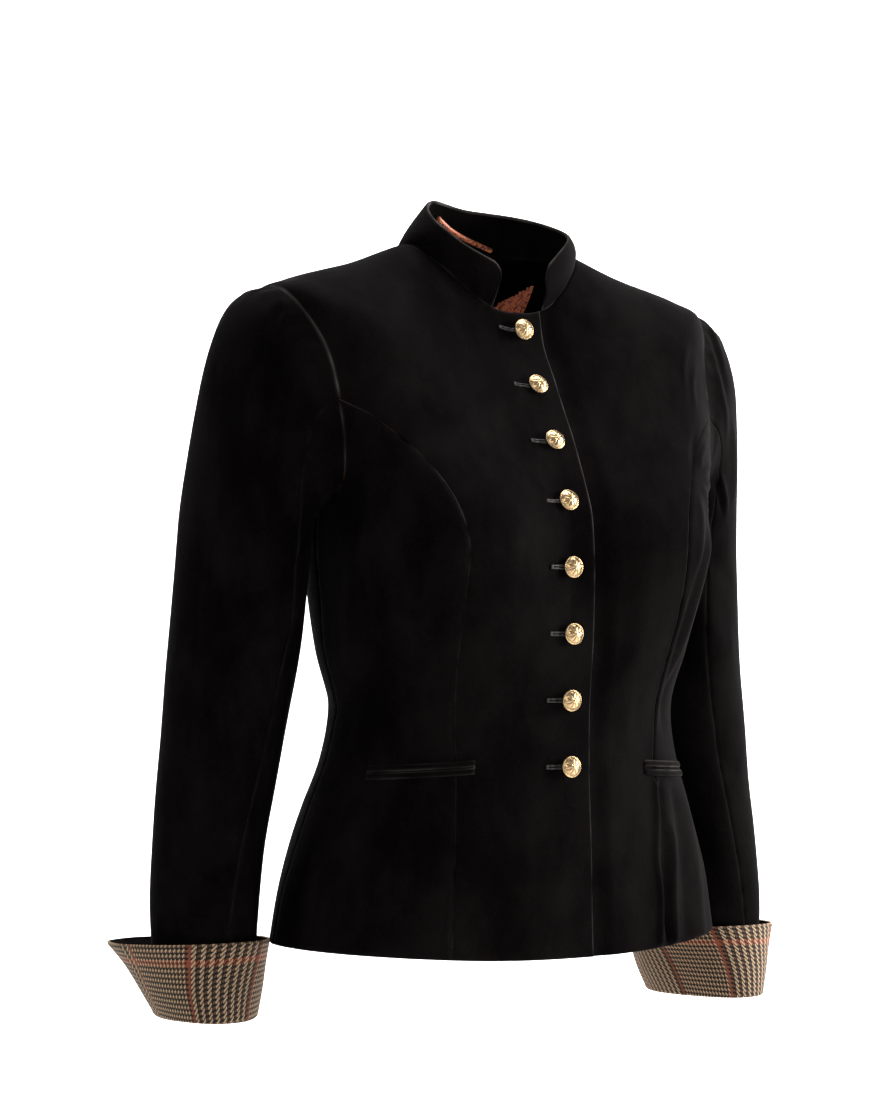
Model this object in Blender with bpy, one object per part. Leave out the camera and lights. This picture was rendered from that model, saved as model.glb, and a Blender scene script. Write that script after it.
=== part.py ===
"""Fitted velvet jacket, worn shape with nobody in it: stand collar, eight domed
buttons, curved princess seams, two jetted hip pockets, two-piece sleeves and
turned-back flared cuffs.

Metres, +Z up, front towards -Y. The origin is the middle of the neck, level
with the two points where the shoulder seams meet the collar.
"""

import math

import bmesh
import bpy
import numpy as np
from mathutils import Matrix, Vector
from mathutils.bvhtree import BVHTree

# Cloth
WALL = 0.0016
COLLAR_WALL = 0.0024
CUFF_WALL = 0.0024
LINING_WALL = 0.0010
SEAM_GAP = 0.0003
LAID_ON_GAP = 0.0005
SEAT_REACH = 0.020
SHARP_ANGLE = math.radians(40.0)

# Body rings from the neck seam down. Each ring is a squared oval: its height at the
# centre front, side and centre back, its half width, where it crosses the middle
# plane in front and behind, where its sides lie, and how square its two halves are.
RING_COLUMNS = (
    "down", "z_front", "z_side", "z_back", "half_width",
    "y_front", "y_back", "y_side", "square_front", "square_back",
)
RINGS = np.array([
    (0.000, -0.053, 0.000, 0.006, 0.0745, -0.050, 0.047, -0.002, 2.1, 2.1),
    (0.040, -0.082, -0.017, -0.012, 0.1230, -0.057, 0.070, 0.001, 2.1, 2.3),
    (0.080, -0.112, -0.031, -0.036, 0.1700, -0.074, 0.089, 0.002, 2.3, 2.5),
    (0.100, -0.130, -0.039, -0.052, 0.1880, -0.084, 0.096, 0.002, 2.4, 2.6),
    (0.130, -0.155, -0.072, -0.082, 0.1880, -0.097, 0.104, 0.001, 2.5, 2.6),
    (0.160, -0.178, -0.115, -0.118, 0.1850, -0.107, 0.109, 0.000, 2.6, 2.6),
    (0.185, -0.195, -0.152, -0.150, 0.1730, -0.113, 0.110, -0.002, 2.8, 2.6),
    (0.212, -0.213, -0.194, -0.188, 0.1520, -0.1175, 0.108, -0.004, 2.9, 2.5),
    (0.240, -0.240, -0.228, -0.226, 0.1510, -0.1200, 0.103, -0.008, 3.0, 2.4),
    (0.275, -0.275, -0.270, -0.268, 0.1490, -0.1215, 0.095, -0.013, 2.9, 2.3),
    (0.312, -0.312, -0.310, -0.310, 0.1475, -0.1222, 0.084, -0.018, 2.5, 2.2),
    (0.352, -0.352, -0.352, -0.352, 0.1405, -0.1195, 0.076, -0.022, 2.2, 2.1),
    (0.392, -0.392, -0.392, -0.392, 0.1460, -0.1190, 0.081, -0.020, 2.2, 2.1),
    (0.430, -0.430, -0.430, -0.431, 0.1595, -0.1200, 0.090, -0.017, 2.2, 2.1),
    (0.480, -0.480, -0.479, -0.482, 0.1760, -0.1220, 0.097, -0.014, 2.2, 2.1),
    (0.542, -0.539, -0.530, -0.541, 0.1868, -0.1240, 0.101, -0.013, 2.2, 2.0),
])
RING = dict(zip(RING_COLUMNS, RINGS.T))
FALL_POWER = 1.4
HEM_DOWN = RING["down"][-1]

# Bust: a soft rise on each side of the centre front
BUST_ANGLE = math.radians(39.0)
BUST_DOWN = 0.228
BUST_RISE = 0.030
BUST_SPREAD_ANGLE = math.radians(17.0)
BUST_SPREAD_DOWN = 0.052

# Armhole: the ring is cut short by this part of its half width, most at mid height
ARMHOLE_TOP = 0.100
ARMHOLE_BOTTOM = 0.212
ARMHOLE_CUT = 0.125
ARMHOLE_JOIN = math.radians(92.0)

# Fronts: each reaches past the centre, the wearer's right one on top
OVERLAP = 0.0195
UNDERLAY_DEPTH = 0.0031
UNDERLAY_RETURN = 0.020
UNDERLAY_START = 0.003

# Seam lines on the surface, as distance from the middle plane against height
FRONT_PRINCESS = np.array([
    (-0.140, 0.147), (-0.159, 0.128), (-0.178, 0.114), (-0.200, 0.1035),
    (-0.235, 0.096), (-0.280, 0.095), (-0.350, 0.089), (-0.400, 0.088),
    (-0.470, 0.092), (-0.5335, 0.096),
])
BACK_PRINCESS = np.array([
    (-0.150, 0.128), (-0.190, 0.104), (-0.240, 0.086), (-0.300, 0.070),
    (-0.352, 0.062), (-0.430, 0.068), (-0.5385, 0.078),
])
SIDE_SEAM_ANGLE = math.radians(94.0)

# Cells of the panels: down the armhole, down below it, along neck, shoulder and side
ARMHOLE_ROWS = 6
BODY_ROWS = 15
NECK_COLUMNS = 6
SHOULDER_COLUMNS = 5
SIDE_COLUMNS = 5
TOP_FADE = 3

# Stand collar: its top edge is an oval leaning forward, its ends stop short of the centre
COLLAR_END_ANGLE = math.radians(26.0)
COLLAR_HALF_WIDTH = 0.0590
COLLAR_MIDDLE_Y = -0.022
COLLAR_FRONT_DEPTH = 0.038
COLLAR_BACK_DEPTH = 0.050
COLLAR_TOP = np.array([
    (26.0, -0.0205), (60.0, 0.002), (90.0, 0.017), (120.0, 0.028), (180.0, 0.036),
    (240.0, 0.036), (270.0, 0.0185), (300.0, -0.004), (334.0, -0.0205),
])
COLLAR_CORNER = 0.010
COLLAR_FOOT_RISE = 0.35
COLLAR_BOW = 0.003
COLLAR_END_SHARES = (0.0, 0.02, 0.06, 0.12, 0.18)
COLLAR_ROWS = 3
COLLAR_COLUMNS = 28

# Sleeve rings below the armhole, on the +X side: the outermost and innermost points,
# the middle's depth, the half depth and the turn of the oval in degrees
SLEEVE_COLUMNS = (
    "outer_x", "outer_z", "inner_x", "inner_z", "middle_y", "half_depth", "turn",
)
SLEEVE_RINGS = np.array([
    (0.2030, -0.0440, 0.1540, -0.2010, 0.0025, 0.0640, 0.0),
    (0.2155, -0.0580, 0.1560, -0.2070, 0.0040, 0.0645, 1.0),
    (0.2250, -0.0840, 0.1575, -0.2130, 0.0070, 0.0645, 3.0),
    (0.2310, -0.1180, 0.1585, -0.2190, 0.0110, 0.0640, 6.0),
    (0.2360, -0.1580, 0.1590, -0.2260, 0.0150, 0.0635, 9.0),
    (0.2395, -0.2000, 0.1590, -0.2360, 0.0190, 0.0630, 12.0),
    (0.2420, -0.2450, 0.1595, -0.2520, 0.0215, 0.0620, 14.0),
    (0.2485, -0.3040, 0.1620, -0.3040, 0.0255, 0.0585, 15.0),
    (0.2540, -0.3560, 0.1675, -0.3560, 0.0280, 0.0550, 12.0),
    (0.2600, -0.4100, 0.1775, -0.4100, 0.0285, 0.0515, 8.0),
    (0.2650, -0.4560, 0.1855, -0.4560, 0.0275, 0.0495, 3.0),
    (0.2675, -0.5000, 0.1905, -0.5000, 0.0260, 0.0485, -2.0),
    (0.2660, -0.5400, 0.1920, -0.5400, 0.0270, 0.0500, -6.0),
    (0.2620, -0.5800, 0.1920, -0.5800, 0.0290, 0.0545, -10.0),
])
SLEEVE_HALF_DEPTH_AT_ARMHOLE = 0.0640
SLEEVE_END = float(len(SLEEVE_RINGS))
SLEEVE_FADE = 5.0
CAP_END = 7.0
CAP_CELLS = 9
ARM_CELLS = 11
DROP_START = 5.0
SLEEVE_DROP = {"right": 0.000, "left": 0.012}

# Turned-back cuff, from its fold at the sleeve end up to its flared edge
CUFF_COLUMNS = ("middle_x", "middle_y", "half_width", "half_depth", "turn", "height")
CUFF_RINGS = np.array([
    (0.2270, 0.0290, 0.0379, 0.0575, -10.0, 0.000),
    (0.2280, 0.0345, 0.0440, 0.0625, -8.0, 0.018),
    (0.2300, 0.0405, 0.0500, 0.0675, -3.0, 0.037),
    (0.2325, 0.0480, 0.0575, 0.0750, 3.0, 0.056),
])
CUFF_RING = dict(zip(CUFF_COLUMNS, CUFF_RINGS.T))
CUFF_BACK_DIP = 0.010
CUFF_ROWS = 3

# Jetted pockets: two narrow lips across each front at hip height
POCKET_INNER = 0.0745
POCKET_OUTER = 0.1385
POCKET_MIDDLE_Z = -0.4005
POCKET_SLOPE = 0.07
POCKET_RAISE = {"right": 0.004, "left": 0.000}
LIP_HEIGHT = 0.0050
LIP_GAP = 0.0006
LIP_THICKNESS = 0.0013
LIP_SWELL = (0.55, 1.0, 0.55)
LIP_COLUMNS = 10

# Buttons down the centre front
BUTTON_TOP_Z = -0.0675
BUTTON_BOTTOM_Z = -0.3975
BUTTON_COUNT = 8
BUTTON_STEPS = 12
BUTTON_LINE_POINTS = 6
BUTTON_PROFILE = (
    (0.0016, 0.0000), (0.0016, 0.0022), (0.0074, 0.0026), (0.0080, 0.0034),
    (0.0072, 0.0045), (0.0045, 0.0060),
)
BUTTON_CROWN = 0.0068

# Lining seen inside the neck, and the loop the jacket is hung by
LINING_CELLS_DOWN = 6
LINING_SPACE = 0.0005
LOOP_RADIUS = 0.0020
LOOP_ENDS = ((212.0, 0.72), (148.0, 0.10))
LOOP_SLACK = 0.004
LOOP_POINTS = 18


# Materials

def principled(name, colour, roughness, metallic=0.0, sheen=0.0):
    material = bpy.data.materials.new(name)
    material.use_nodes = True
    shader = material.node_tree.nodes["Principled BSDF"]
    shader.inputs["Base Color"].default_value = (*colour, 1.0)
    shader.inputs["Roughness"].default_value = roughness
    shader.inputs["Metallic"].default_value = metallic
    shader.inputs["Sheen Weight"].default_value = sheen
    material.diffuse_color = (*colour, 1.0)
    return material


def velvet(name):
    return principled(f"{name}_black_velvet", (0.004, 0.0035, 0.0035), 0.85, sheen=0.5)


def check_cloth(name):
    return principled(f"{name}_wool_check", (0.09, 0.05, 0.03), 0.9)


def lining_cloth(name):
    return principled(f"{name}_copper_lining", (0.20, 0.06, 0.02), 0.4)


def gilt(name):
    return principled(f"{name}_gilt_brass", (0.72, 0.47, 0.17), 0.28, metallic=1.0)


# Curves through table rows

def slopes(stations, values):
    return np.gradient(values, stations, edge_order=1)


def smooth(stations, values, at):
    """Cubic curve through the table's values, at any stations."""
    at = np.clip(np.asarray(at, float), stations[0], stations[-1])
    i = np.clip(np.searchsorted(stations, at, side="right") - 1, 0, len(stations) - 2)
    width = stations[i + 1] - stations[i]
    t = (at - stations[i]) / width
    slope = slopes(stations, values)
    return (
        values[i] * (2 * t**3 - 3 * t**2 + 1)
        + values[i + 1] * (3 * t**2 - 2 * t**3)
        + slope[i] * width * (t**3 - 2 * t**2 + t)
        + slope[i + 1] * width * (t**3 - t**2)
    )


def smoothstep(low, high, value):
    t = np.clip((value - low) / (high - low), 0.0, 1.0)
    return t * t * (3 - 2 * t)


def unit(vectors):
    return vectors / np.linalg.norm(vectors, axis=-1, keepdims=True)


# The body surface: angle 0 is the centre front, a quarter turn is the +X side

def ring_value(column, down):
    return smooth(RING["down"], RING[column], down)


def torso(angle, down):
    """Points of the body surface."""
    angle, down = np.broadcast_arrays(np.asarray(angle, float), np.asarray(down, float))
    cos, sin = np.cos(angle), np.sin(angle)
    front = cos >= 0
    y_side = ring_value("y_side", down)
    depth = np.where(front, y_side - ring_value("y_front", down), ring_value("y_back", down) - y_side)
    power = np.where(front, ring_value("square_front", down), ring_value("square_back", down))
    across = np.abs(sin) / ring_value("half_width", down)
    reach = ((np.abs(cos) / depth) ** power + across**power) ** (-1 / power)
    turn = np.abs((angle + math.pi) % (2 * math.pi) - math.pi)
    rise = np.exp(
        -0.5 * ((turn - BUST_ANGLE) / BUST_SPREAD_ANGLE) ** 2
        - 0.5 * ((down - BUST_DOWN) / BUST_SPREAD_DOWN) ** 2
    )
    reach = reach + BUST_RISE * rise
    z_side = ring_value("z_side", down)
    z_end = np.where(front, ring_value("z_front", down), ring_value("z_back", down))
    from_end = np.where(front, turn, math.pi - turn) / (math.pi / 2)
    z = z_side + (z_end - z_side) * np.cos(math.pi / 2 * from_end**FALL_POWER) ** 2
    return np.stack([reach * sin, y_side - reach * cos, z], axis=-1)


def torso_normal(angle, down):
    """Outward normals of the body surface."""
    step = 1e-4
    inside = np.clip(down, step, HEM_DOWN - step)
    around = torso(angle + step, inside) - torso(angle - step, inside)
    along = torso(angle, inside + step) - torso(angle, inside - step)
    return unit(np.cross(along, around))


def on_surface(x, z, behind=False):
    """Angle and distance down of the surface point at this x and height."""
    angle = math.pi - 0.5 if behind else 0.5
    angle, down = math.copysign(angle, x), -z
    step = 1e-5
    for _ in range(30):
        here = torso(angle, down)
        side_step = step if down < HEM_DOWN - step else -step
        by_angle = (torso(angle + step, down) - here) / step
        by_down = (torso(angle, down + side_step) - here) / side_step
        slope = np.array([[by_angle[0], by_down[0]], [by_angle[2], by_down[2]]])
        change = np.linalg.lstsq(slope, np.array([x - here[0], z - here[2]]), rcond=None)[0]
        angle += float(np.clip(change[0], -0.2, 0.2))
        down = float(np.clip(down + np.clip(change[1], -0.03, 0.03), 0.0, HEM_DOWN))
    return angle, down


def seam_curve(table, start, behind=False):
    """Seam points from its start at the armhole down to the hem, evenly spaced."""
    points = [start] + [on_surface(x, z, behind) for z, x in table]
    points[-1] = (points[-1][0], HEM_DOWN)
    return evenly(np.array(points), BODY_ROWS)


def evenly(points, cells):
    """The curve through these surface places, cut into cells of equal length."""
    index = np.arange(len(points), dtype=float)
    fine = np.linspace(0, len(points) - 1, 40 * len(points))
    angle = smooth(index, points[:, 0], fine)
    down = smooth(index, points[:, 1], fine)
    length = np.linalg.norm(np.diff(torso(angle, down), axis=0), axis=1)
    total = np.concatenate([[0.0], np.cumsum(length)])
    at = np.linspace(0.0, total[-1], cells + 1)
    return np.stack([np.interp(at, total, angle), np.interp(at, total, down)], axis=-1)


# Armhole: turn 0 is the shoulder point, half a turn the underarm, going by the front

def armhole_place(turn):
    """Angle and distance down of the armhole's edge, on the +X side."""
    share = (1 - np.cos(turn)) / 2
    down = ARMHOLE_TOP + (ARMHOLE_BOTTOM - ARMHOLE_TOP) * share
    ratio = 1 - ARMHOLE_CUT * 4 * share * (1 - share)
    front = np.sin(turn) >= 0
    y_side = ring_value("y_side", down)
    depth = np.where(front, y_side - ring_value("y_front", down), ring_value("y_back", down) - y_side)
    power = np.where(front, ring_value("square_front", down), ring_value("square_back", down))
    inward = depth * np.maximum(1 - ratio**power, 0.0) ** (1 / power)
    angle = np.arctan2(ratio * ring_value("half_width", down), inward)
    return np.where(front, angle, math.pi - angle), down


def armhole_edge(turns):
    return np.stack(armhole_place(np.asarray(turns)), axis=-1)


UPPER_TURNS = np.linspace(0.0, ARMHOLE_JOIN, ARMHOLE_ROWS + 1)
LOWER_TURNS = np.linspace(ARMHOLE_JOIN, math.pi, SIDE_COLUMNS + 1)
FULL_TURN = 2 * math.pi


# Panels: each is a patch of the surface between four edges, given a thickness

def patch(top, bottom, left, right):
    """Places inside four edges that meet at the corners, most like the top near it."""
    u = np.linspace(0, 1, len(top))[None, :, None]
    v = np.linspace(0, 1, len(left))[:, None, None]
    across = (1 - u) * left[:, None] + u * right[:, None]
    top_bow = top[None] - (1 - u) * top[0] - u * top[-1]
    bottom_bow = bottom[None] - (1 - u) * bottom[0] - u * bottom[-1]
    return across + (1 - v) ** TOP_FADE * top_bow + v * bottom_bow


def joined(*runs):
    """Runs of places end to end, without the doubled ends."""
    return np.concatenate([runs[0]] + [run[1:] for run in runs[1:]])


def straight(start, end, cells):
    t = np.linspace(0, 1, cells + 1)[:, None]
    return (1 - t) * np.asarray(start) + t * np.asarray(end)


def edge_of_front():
    """The front edge, at a set distance past the centre."""
    heights = np.linspace(RING["z_front"][0] + 0.0005, RING["z_front"][-1], 16)
    points = np.array([on_surface(-OVERLAP, z) for z in heights])
    points[0] = (points[0][0], 0.0)
    points[-1] = (points[-1][0], HEM_DOWN)
    return evenly(points, ARMHOLE_ROWS + BODY_ROWS)


def panel_places():
    """The four panels of the +X side, as grids of places on the surface."""
    quarter = math.pi / 2
    front_upper = armhole_edge(UPPER_TURNS)
    front_lower = armhole_edge(LOWER_TURNS)
    back_upper = armhole_edge(FULL_TURN - UPPER_TURNS)
    back_lower = armhole_edge(FULL_TURN - LOWER_TURNS)
    front_seam = seam_curve(FRONT_PRINCESS, tuple(front_upper[-1]))
    back_seam = seam_curve(BACK_PRINCESS, tuple(back_upper[-1]), behind=True)
    side_places = np.array([tuple(front_lower[-1]), (SIDE_SEAM_ANGLE, 0.30), (SIDE_SEAM_ANGLE, HEM_DOWN)])
    side_seam = evenly(side_places, BODY_ROWS)
    shoulder = straight((quarter, 0.0), (quarter, ARMHOLE_TOP), SHOULDER_COLUMNS)
    front_edge = edge_of_front()
    centre_back = straight((math.pi, 0.0), (math.pi, HEM_DOWN), ARMHOLE_ROWS + BODY_ROWS)
    front_top = joined(straight(front_edge[0], (quarter, 0.0), NECK_COLUMNS), shoulder)
    back_top = joined(straight(centre_back[0], (quarter, 0.0), NECK_COLUMNS), shoulder)
    wide = NECK_COLUMNS + SHOULDER_COLUMNS
    return {
        "front": patch(
            front_top, straight(front_edge[-1], front_seam[-1], wide),
            front_edge, joined(front_upper, front_seam),
        ),
        "side_front": patch(
            front_lower, straight(front_seam[-1], side_seam[-1], SIDE_COLUMNS),
            front_seam, side_seam,
        ),
        "back": patch(
            back_top, straight(centre_back[-1], back_seam[-1], wide),
            centre_back, joined(back_upper, back_seam),
        ),
        "side_back": patch(
            back_lower, straight(back_seam[-1], side_seam[-1], SIDE_COLUMNS),
            back_seam, side_seam,
        ),
    }


def trimmed(points, normals, gap):
    """The grid with each edge drawn in, so that neighbours stay apart at the seam."""
    result = points.copy()
    edges = (
        (np.s_[0, :], np.s_[1, :]), (np.s_[-1, :], np.s_[-2, :]),
        (np.s_[:, 0], np.s_[:, 1]), (np.s_[:, -1], np.s_[:, -2]),
    )
    for edge, beside in edges:
        along = np.gradient(points[edge], axis=0)
        inward = unit(np.cross(normals[edge], along))
        towards = np.sum(inward * (points[beside] - points[edge]), axis=-1, keepdims=True)
        result[edge] += np.sign(towards.sum()) * inward * gap
    return result


def add_object(name, mesh, material):
    mesh.materials.append(material)
    mesh.shade_smooth()
    mesh.set_sharp_from_angle(angle=SHARP_ANGLE)
    body = bpy.data.objects.new(name, mesh)
    bpy.context.scene.collection.objects.link(body)
    return body


def mesh_from(name, bm):
    bmesh.ops.recalc_face_normals(bm, faces=bm.faces)
    mesh = bpy.data.meshes.new(name)
    bm.to_mesh(mesh)
    bm.free()
    return mesh


def wall(name, outer, inner, material, closed=False):
    """A solid between two grids of points; closed joins the last column to the first."""
    rows, columns = outer.shape[:2]
    bm = bmesh.new()
    out = [[bm.verts.new(p) for p in row] for row in outer]
    into = [[bm.verts.new(p) for p in row] for row in inner]
    spans = columns if closed else columns - 1
    for i in range(rows - 1):
        for j in range(spans):
            k = (j + 1) % columns
            for side in (out, into):
                bm.faces.new((side[i][j], side[i][k], side[i + 1][k]))
                bm.faces.new((side[i][j], side[i + 1][k], side[i + 1][j]))
    for j in range(spans):
        k = (j + 1) % columns
        for i in (0, rows - 1):
            bm.faces.new((out[i][j], out[i][k], into[i][k], into[i][j]))
    if not closed:
        for i in range(rows - 1):
            for j in (0, columns - 1):
                bm.faces.new((out[i][j], into[i][j], into[i + 1][j], out[i + 1][j]))
    return add_object(name, mesh_from(name, bm), material)


def underlay(points):
    """How deep the wearer's left front lies under the other, by distance from the middle."""
    return UNDERLAY_DEPTH * (1 - smoothstep(OVERLAP + UNDERLAY_START, OVERLAP + UNDERLAY_RETURN, points[..., 0]))


def build_panels(places):
    for side, sign in (("right", -1.0), ("left", 1.0)):
        for kind, grid in places.items():
            angle, down = sign * grid[..., 0], grid[..., 1]
            normals = torso_normal(angle, down)
            points = torso(angle, down)
            if kind == "front" and side == "left":
                points = points - normals * underlay(points)[..., None]
            points = trimmed(points, normals, SEAM_GAP / 2)
            name = f"{kind}_{side}"
            wall(name, points, points - normals * WALL, velvet(name))


def build_linings(places):
    """Lining inside each back panel, from the collar seam down."""
    grid = places["back"][: LINING_CELLS_DOWN + 1]
    for side, sign in (("right", -1.0), ("left", 1.0)):
        angle, down = sign * grid[..., 0], grid[..., 1]
        normals = torso_normal(angle, down)
        outer = trimmed(torso(angle, down), normals, SEAM_GAP / 2) - normals * (WALL + LINING_SPACE)
        name = f"back_lining_{side}"
        wall(name, outer, outer - normals * LINING_WALL, lining_cloth(name))


# Collar

def collar_top(angle):
    cos, sin = np.cos(angle), np.sin(angle)
    depth = np.where(cos >= 0, COLLAR_FRONT_DEPTH, COLLAR_BACK_DEPTH)
    reach = 1 / np.hypot(cos / depth, sin / COLLAR_HALF_WIDTH)
    z = smooth(COLLAR_TOP[:, 0], COLLAR_TOP[:, 1], np.degrees(angle))
    return np.stack([reach * sin, COLLAR_MIDDLE_Y - reach * cos, z], axis=-1)


def neck_seam(angle):
    """The neck edge of the panels, straight between their own points."""
    front = np.linspace(edge_of_front()[0][0], math.pi / 2, NECK_COLUMNS + 1)
    back = np.linspace(math.pi / 2, math.pi, NECK_COLUMNS + 1)
    half = np.concatenate([front[front > 0], back[1:]])
    stations = np.concatenate([half, FULL_TURN - half[-2::-1]])
    points = torso(stations, 0.0)
    return np.stack([np.interp(angle, stations, column) for column in points.T], axis=-1)


def collar_point(angle, share):
    """Collar surface: share 0 is the neck seam and 1 the top edge."""
    base = neck_seam(angle)
    top = collar_top(angle)
    line = base + (top - base) * share[..., None]
    outwards = np.stack([np.sin(angle), -np.cos(angle), np.zeros_like(angle)], axis=-1)
    return line + outwards * (COLLAR_BOW * np.sin(math.pi * share))[..., None]


def build_collar():
    ends = np.array(COLLAR_END_SHARES)
    middle = np.linspace(ends[-1], 1 - ends[-1], COLLAR_COLUMNS - 2 * len(ends) + 3)[1:-1]
    share = np.concatenate([ends, middle, 1 - ends[::-1]])
    reach = FULL_TURN - 2 * COLLAR_END_ANGLE
    angle = COLLAR_END_ANGLE + reach * share
    top = collar_top(angle)
    height = np.linalg.norm(top - neck_seam(angle), axis=-1)
    along = np.concatenate([[0.0], np.cumsum(np.linalg.norm(np.diff(top, axis=0), axis=1))])
    from_end = np.minimum(np.minimum(along, along[-1] - along), COLLAR_CORNER)
    drop = COLLAR_CORNER - np.sqrt(COLLAR_CORNER**2 - (COLLAR_CORNER - from_end) ** 2)
    full = 1 - drop / height
    rows = np.linspace(0, 1, COLLAR_ROWS + 1)
    low = SEAM_GAP / height
    shares = low[None] + (full - low)[None] * rows[:, None]
    angles = np.broadcast_to(angle, shares.shape)
    points = collar_point(angles, shares)
    step = 1e-3
    around = collar_point(angles + step, shares) - collar_point(angles - step, shares)
    up = collar_point(angles, shares + step) - collar_point(angles, shares - step)
    inward = -unit(np.cross(around, up))
    inward[0, :, 2] = np.maximum(inward[0, :, 2], COLLAR_FOOT_RISE)
    wall("collar", points, points + unit(inward) * COLLAR_WALL, velvet("collar"))


# Sleeves

def columns_at(columns, table, stations, at):
    return {name: smooth(stations, table[:, i], at) for i, name in enumerate(columns)}


def armhole_point(turn):
    return torso(*armhole_place(np.asarray(turn, float)))


def oval(ring, half_width, turn_cos, turn_sin):
    """Place on a turned oval: x and y from its middle."""
    angle = np.radians(ring["turn"])
    across = half_width * turn_cos
    depth = ring["half_depth"] * turn_sin
    return (
        across * np.cos(angle) + depth * np.sin(angle),
        depth * np.cos(angle) - across * np.sin(angle),
    )


def sleeve_point(turn, along, drop):
    """Sleeve surface on the +X side: along is 0 at the armhole and counts the rings."""
    turn, along = np.broadcast_arrays(np.asarray(turn, float), np.asarray(along, float))
    top, bottom = armhole_point(0.0), armhole_point(math.pi)
    middle = (top + bottom) / 2
    first = (top[0], top[2], bottom[0], bottom[2], middle[1], SLEEVE_HALF_DEPTH_AT_ARMHOLE, 0.0)
    table = np.vstack([first, SLEEVE_RINGS])
    ring = columns_at(SLEEVE_COLUMNS, table, np.arange(len(table), dtype=float), along)
    axis = (top - bottom) / 2 * np.array([1.0, 0.0, 1.0])
    sideways = np.array([axis[2], 0.0, -axis[0]]) / np.linalg.norm(axis)
    offset = armhole_point(turn) - middle
    near = 1 - smoothstep(0.0, SLEEVE_FADE, along)
    turn_cos = near * (offset @ axis) / (axis @ axis) + (1 - near) * np.cos(turn)
    turn_sin = near * offset[..., 1] / SLEEVE_HALF_DEPTH_AT_ARMHOLE - (1 - near) * np.sin(turn)
    x, y = oval(ring, (ring["outer_x"] - ring["inner_x"]) / 2, turn_cos, turn_sin)
    z = (ring["outer_z"] - ring["inner_z"]) / 2 * turn_cos
    centre = np.stack([
        (ring["outer_x"] + ring["inner_x"]) / 2,
        ring["middle_y"],
        (ring["outer_z"] + ring["inner_z"]) / 2 - drop * smoothstep(DROP_START, SLEEVE_END, along),
    ], axis=-1)
    return centre + np.stack([x, y, z], axis=-1) + sideways * (near * (offset @ sideways))[..., None]


def outward_normals(surface, u, v, low, high):
    """Normals of a tube-like surface, away from the middle of each of its rings."""
    step = 1e-3
    inside = np.clip(v, low + step, high - step)
    around = surface(u + step, inside) - surface(u - step, inside)
    along = surface(u, inside + step) - surface(u, inside - step)
    normals = unit(np.cross(around, along))
    middle = (surface(u, inside) + surface(u + math.pi, inside)) / 2
    away = np.sum(normals * (surface(u, inside) - middle))
    return normals * np.sign(away)


def build_sleeves():
    along = np.concatenate([
        np.linspace(0.0, CAP_END, CAP_CELLS + 1),
        np.linspace(CAP_END, SLEEVE_END, ARM_CELLS + 1)[1:],
    ])
    upper = np.concatenate([-UPPER_TURNS[:0:-1], UPPER_TURNS])
    lower = np.concatenate([LOWER_TURNS, FULL_TURN - LOWER_TURNS[-2::-1]])
    for side, sign in (("right", -1.0), ("left", 1.0)):
        mirror = np.array([sign, 1.0, 1.0])

        def surface(turn, place, drop=SLEEVE_DROP[side]):
            return sleeve_point(turn, place, drop)

        for kind, turns in (("top_sleeve", upper), ("under_sleeve", lower)):
            u, v = np.meshgrid(turns, along)
            normals = outward_normals(surface, u, v, 0.0, SLEEVE_END)
            points = trimmed(surface(u, v), normals, SEAM_GAP / 2)
            name = f"{kind}_{side}"
            wall(name, points * mirror, (points - normals * WALL) * mirror, velvet(name))


# Cuffs

def cuff_point(turn, share, drop):
    """Cuff surface on the +X side: share 0 is the fold and 1 the flared edge."""
    stations = CUFF_RING["height"] / CUFF_RING["height"][-1]
    ring = columns_at(CUFF_COLUMNS, CUFF_RINGS, stations, share)
    x, y = oval(ring, ring["half_width"], np.cos(turn), -np.sin(turn))
    dip = CUFF_BACK_DIP * share * (1 - np.sin(turn)) / 2
    z = SLEEVE_RINGS[-1][1] - drop + ring["height"] - dip
    return np.stack([ring["middle_x"] + x, ring["middle_y"] + y, z], axis=-1)


def build_cuffs():
    turns = np.concatenate([
        UPPER_TURNS, LOWER_TURNS[1:], FULL_TURN - LOWER_TURNS[-2::-1], FULL_TURN - UPPER_TURNS[-2:0:-1],
    ])
    u, v = np.meshgrid(turns, np.linspace(0, 1, CUFF_ROWS + 1))
    for side, sign in (("right", -1.0), ("left", 1.0)):
        mirror = np.array([sign, 1.0, 1.0])

        def surface(turn, share, drop=SLEEVE_DROP[side]):
            return cuff_point(turn, share, drop)

        normals = outward_normals(surface, u, v, 0.0, 1.0)
        points = surface(u, v)
        name = f"cuff_{side}"
        wall(name, points * mirror, (points - normals * CUFF_WALL) * mirror, check_cloth(name), closed=True)


# Pockets, buttons and loop

def seated(points, normals, cloth):
    """The points dropped along their normals onto the cloth's outer face, plus the gap."""
    result = points.copy()
    for index in np.ndindex(points.shape[:-1]):
        start, way = Vector(points[index] + normals[index] * SEAT_REACH), Vector(-normals[index])
        hits = [tree.ray_cast(start, way, 2 * SEAT_REACH) for tree in cloth]
        nearest = min((hit for hit in hits if hit[0] is not None), key=lambda hit: hit[3])
        result[index] = np.array(nearest[0]) + normals[index] * LAID_ON_GAP
    return result


def cloth_trees(*names):
    """Search trees of the named panels, for seating what lies on them."""
    trees = []
    for name in names:
        mesh = bpy.data.objects[name].data
        corners = [vertex.co for vertex in mesh.vertices]
        faces = [tuple(polygon.vertices) for polygon in mesh.polygons]
        trees.append(BVHTree.FromPolygons(corners, faces))
    return trees


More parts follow.
